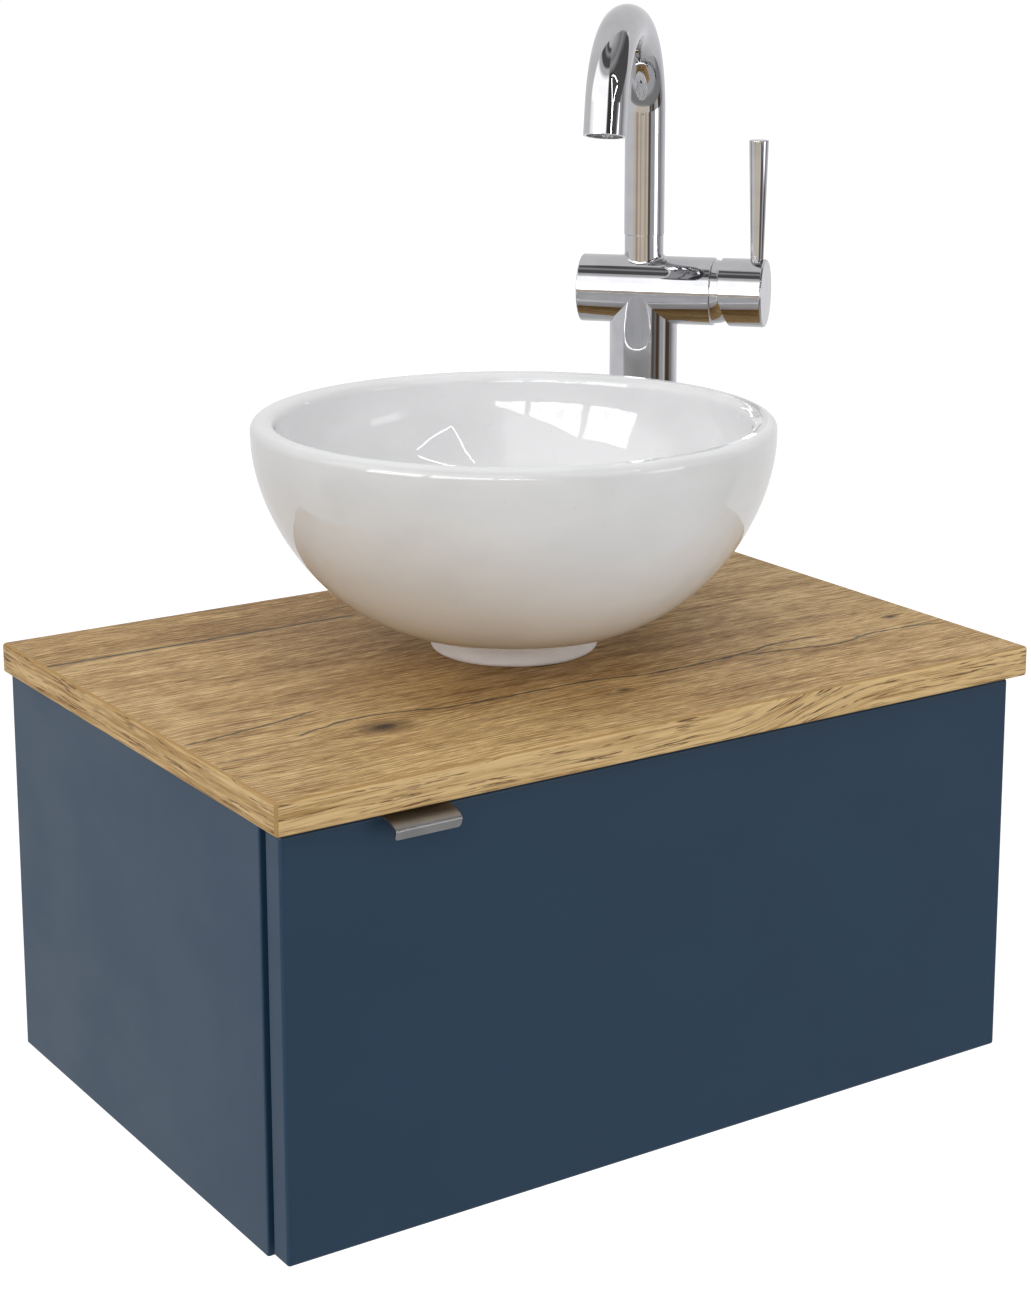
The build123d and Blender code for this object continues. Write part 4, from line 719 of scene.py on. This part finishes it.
# Azimuths of its panes, counted on past -180.
WINDOW_PANES = ((-129.0, -114.0), (-158.5, -131.5), (-188.0, -162.0))
WINDOW_SILL = 1.0        # elevations of its lower edge, of its top edge where it starts and where it ends
WINDOW_TOP = 14.0
WINDOW_CREST = 26.0
WINDOW_RISE = 0.42       # degrees by which the top edge rises for each degree of azimuth
SIDE_PANEL = (-63.0, -47.0, -8.0, 9.0)   # a bright panel: its azimuths and elevations
SIDE_GLOW = 1.8
# Branches before the window: their noise by azimuth and elevation, and the light left on and beside them.
TWIG_GRAIN = Grain(0.55, 0.10, 3.0, 0.7, 0.0)
TWIG_EDGE = (0.0, 0.030, 0.10, 1.0)


def room_by_direction(g):
    """Colour of the studio in each direction, as polished surfaces see it."""
    x, y, z = g.split(g.node("ShaderNodeTexCoord").outputs["Generated"])
    height = g.math("MULTIPLY", g.math("ARCSINE", z), 180.0 / math.pi)
    turn = g.math("MULTIPLY", g.math("ARCTAN2", y, x), 180.0 / math.pi)

    def above(value, edge, soft):
        return g.between(value, edge - soft, edge + soft)

    def below(value, edge, soft):
        return g.between(value, edge - soft, edge + soft, 1.0, 0.0)

    def inside(value, low, high, soft=EDGE_SOFT):
        return g.math("MULTIPLY", above(value, low, soft), below(value, high, soft))

    def by_height(bands):
        share = g.between(height, -90.0, 90.0, kind="LINEAR")
        return g.ramp(share, [((elevation + 90.0) / 180.0, grey(level)) for elevation, level in bands])

    def by_azimuth(stripes):
        share = g.between(turn, -180.0, 180.0, kind="LINEAR")
        return g.ramp(share, [((azimuth + 180.0) / 360.0, shade) for azimuth, shade in stripes])

    dark = inside(turn, WINDOW_WALL_END, DARK_WALL_END, DARK_SOFT)
    light = inside(turn, DARK_WALL_END, LIGHT_WALL_END, LIGHT_SOFT)
    colour = g.mix(dark, by_height(WINDOW_WALL), by_height(DARK_WALL))
    colour = g.mix(light, colour, by_height(LIGHT_WALL))

    low = below(height, LOW_STRIPES_TOP, LOW_SOFT)
    stripes = g.mix(low, by_azimuth(HORIZON_STRIPES), by_azimuth(LOW_STRIPES))
    stripes_top = g.math("MULTIPLY_ADD", dark, STRIPES_RISE, STRIPES_TOP)
    low_enough = below(g.math("SUBTRACT", height, stripes_top), 0.0, PANE_SOFT)
    colour = g.mix(g.math("MULTIPLY", g.between(height, *STRIPES_BOTTOM), low_enough), colour, stripes)
    corner = g.math("MULTIPLY", inside(turn, *CORNER[:2], CORNER_SOFT),
                    inside(height, *CORNER[2:4], CORNER_SOFT))
    colour = g.mix(corner, colour, grey(CORNER[4]))
    side = g.math("MULTIPLY", inside(turn, *SIDE_PANEL[:2]), inside(height, *SIDE_PANEL[2:]))
    colour = g.mix(side, colour, grey(SIDE_GLOW))

    # The azimuth, counted without a break across the window wall.
    leftward = g.math("SUBTRACT", turn, g.between(turn, DARK_WALL_END, DARK_WALL_END + 0.01, 0.0, 360.0))
    past = g.math("SUBTRACT", WINDOW_START, leftward)
    crest = g.math("MINIMUM", g.math("MULTIPLY_ADD", past, WINDOW_RISE, WINDOW_TOP), WINDOW_CREST)
    below_crest = below(g.math("SUBTRACT", height, crest), 0.0, PANE_SOFT)
    rows = g.math("MULTIPLY", below_crest, above(height, WINDOW_SILL, PANE_SOFT))
    first, *others = (inside(leftward, left, right, PANE_SOFT) for left, right in WINDOW_PANES)
    panes = first
    for pane in others:
        panes = g.math("MAXIMUM", panes, pane)
    branch = g.between(g.gap(g.grain(leftward, height, TWIG_GRAIN)), *TWIG_EDGE)
    lit = g.math("MULTIPLY", g.math("MULTIPLY", panes, rows), branch)
    return g.mix(lit, colour, grey(WINDOW_GLOW))


def make_world():
    """White to the camera, the studio to polished surfaces, and an even level to the rest."""
    world = bpy.data.worlds.new("studio")
    bpy.context.scene.world = world
    world.use_nodes = True
    g = Graph(world.node_tree)
    path = g.node("ShaderNodeLightPath").outputs
    backdrop = g.node("ShaderNodeBackground", {"Color": grey(1.0), "Strength": 1.0}).outputs[0]
    room = g.node("ShaderNodeBackground", {"Color": room_by_direction(g), "Strength": 1.0 / CHROME_SHARE})
    even = g.node("ShaderNodeBackground", {"Color": grey(1.0), "Strength": AMBIENT}).outputs[0]
    polished = g.math("MAXIMUM", path["Is Glossy Ray"], path["Is Transmission Ray"])
    seen = g.node("ShaderNodeMixShader", {0: polished, 1: even, 2: room.outputs[0]}).outputs[0]
    seen = g.node("ShaderNodeMixShader", {0: path["Is Camera Ray"], 1: seen, 2: backdrop}).outputs[0]
    output = g.node("ShaderNodeOutputWorld")
    g.feed(output.inputs["Surface"], seen)


def make_floor():
    """A pale floor well below the wall-hung cabinet; it keeps the object's soft shadow."""
    corners = [(-FLOOR_HALF, -FLOOR_HALF), (FLOOR_HALF, -FLOOR_HALF), (FLOOR_HALF, FLOOR_HALF),
               (-FLOOR_HALF, FLOOR_HALF)]
    mesh = bpy.data.meshes.new("floor")
    mesh.from_pydata([(x, y, FLOOR_HEIGHT) for x, y in corners], [], [(0, 1, 2, 3)])
    floor = bpy.data.objects.new("floor", mesh)
    bpy.context.scene.collection.objects.link(floor)
    material = bpy.data.materials.new("floor_paper")
    material.use_nodes = True
    g = Graph(material.node_tree)
    paper = g.node("ShaderNodeBsdfDiffuse", {"Color": grey(FLOOR_COLOUR)}).outputs[0]
    glow = g.node("ShaderNodeEmission", {"Color": grey(1.0), "Strength": FLOOR_GLOW}).outputs[0]
    nothing = g.node("ShaderNodeEmission", {"Color": grey(0.0), "Strength": 0.0}).outputs[0]
    path = g.node("ShaderNodeLightPath").outputs
    extra = g.node("ShaderNodeMixShader", {0: path["Is Camera Ray"], 1: nothing, 2: glow}).outputs[0]
    both = g.node("ShaderNodeAddShader", {0: paper, 1: extra}).outputs[0]
    g.feed(g.node("ShaderNodeOutputMaterial").inputs["Surface"], both)
    mesh.materials.append(material)
    floor.visible_glossy = False


def direction(azimuth, height):
    """Unit vector towards an azimuth from +X and a height above the horizon, in degrees."""
    a, e = math.radians(azimuth), math.radians(height)
    return Vector((math.cos(a) * math.cos(e), math.sin(a) * math.cos(e), math.sin(e)))


def light_strip(name, start, end, sag):
    """A thin glowing strip far away between two directions, which only polished surfaces show."""
    centre = Vector((BASIN_AXIS[0] / MM, BASIN_AXIS[1] / MM, STRIP_CENTRE_HEIGHT))
    first, last = direction(*start), direction(*end)
    across = first.cross(last).normalized()
    mesh = bpy.data.meshes.new(name)
    form = bmesh.new()
    rows = []
    for index in range(STRIP_STEPS + 1):
        share = index / STRIP_STEPS
        middle = first.lerp(last, share) + across * (sag * 4 * share * (1 - share))
        middle.normalize()
        edges = [middle + across * side * STRIP_HALF_WIDTH / STRIP_REACH for side in (-1, 1)]
        rows.append([form.verts.new(centre + edge * STRIP_REACH) for edge in edges])
    for low, high in zip(rows, rows[1:]):
        form.faces.new((low[0], low[1], high[1], high[0]))
    form.to_mesh(mesh)
    form.free()
    material = bpy.data.materials.new(name + "_glow")
    material.use_nodes = True
    g = Graph(material.node_tree)
    glow = g.node("ShaderNodeEmission", {"Color": grey(1.0), "Strength": STRIP_GLOW}).outputs[0]
    g.feed(g.node("ShaderNodeOutputMaterial").inputs["Surface"], glow)
    mesh.materials.append(material)
    strip = bpy.data.objects.new(name, mesh)
    bpy.context.scene.collection.objects.link(strip)
    for ray in ("camera", "diffuse", "shadow", "transmission", "volume_scatter"):
        setattr(strip, "visible_" + ray, False)


def make_lamp(name, place, power, size):
    """A soft square lamp aimed at the object; polished surfaces see the studio instead of it."""
    light = bpy.data.lights.new(name, "AREA")
    light.energy = power
    light.size = size
    lamp = bpy.data.objects.new(name, light)
    bpy.context.scene.collection.objects.link(lamp)
    lamp.location = place
    aim = Vector(LAMP_TARGET) - Vector(place)
    lamp.rotation_mode = "QUATERNION"
    lamp.rotation_quaternion = aim.to_track_quat("-Z", "Y")
    lamp.visible_glossy = False


def make_camera():
    camera = bpy.data.objects.new("camera", bpy.data.cameras.new("camera"))
    bpy.context.scene.collection.objects.link(camera)
    camera.location = CAMERA_PLACE
    a, p = math.radians(CAMERA_AZIMUTH), math.radians(CAMERA_PITCH)
    aim = Vector((math.sin(a) * math.cos(p), math.cos(a) * math.cos(p), -math.sin(p)))
    camera.rotation_mode = "QUATERNION"
    roll = Quaternion((0.0, 0.0, 1.0), math.radians(CAMERA_ROLL))
    camera.rotation_quaternion = aim.to_track_quat("-Z", "Y") @ roll
    camera.data.lens = CAMERA_LENS
    camera.data.sensor_width = CAMERA_SENSOR
    camera.data.shift_y = CAMERA_SHIFT
    camera.data.clip_start, camera.data.clip_end = CAMERA_CLIP
    bpy.context.scene.camera = camera


dress_nodes()
make_world()
make_floor()
for lamp in LAMPS:
    make_lamp(*lamp)
for strip in STRIPS:
    light_strip(*strip)
make_camera()
bpy.context.scene.view_settings.view_transform = "Standard"
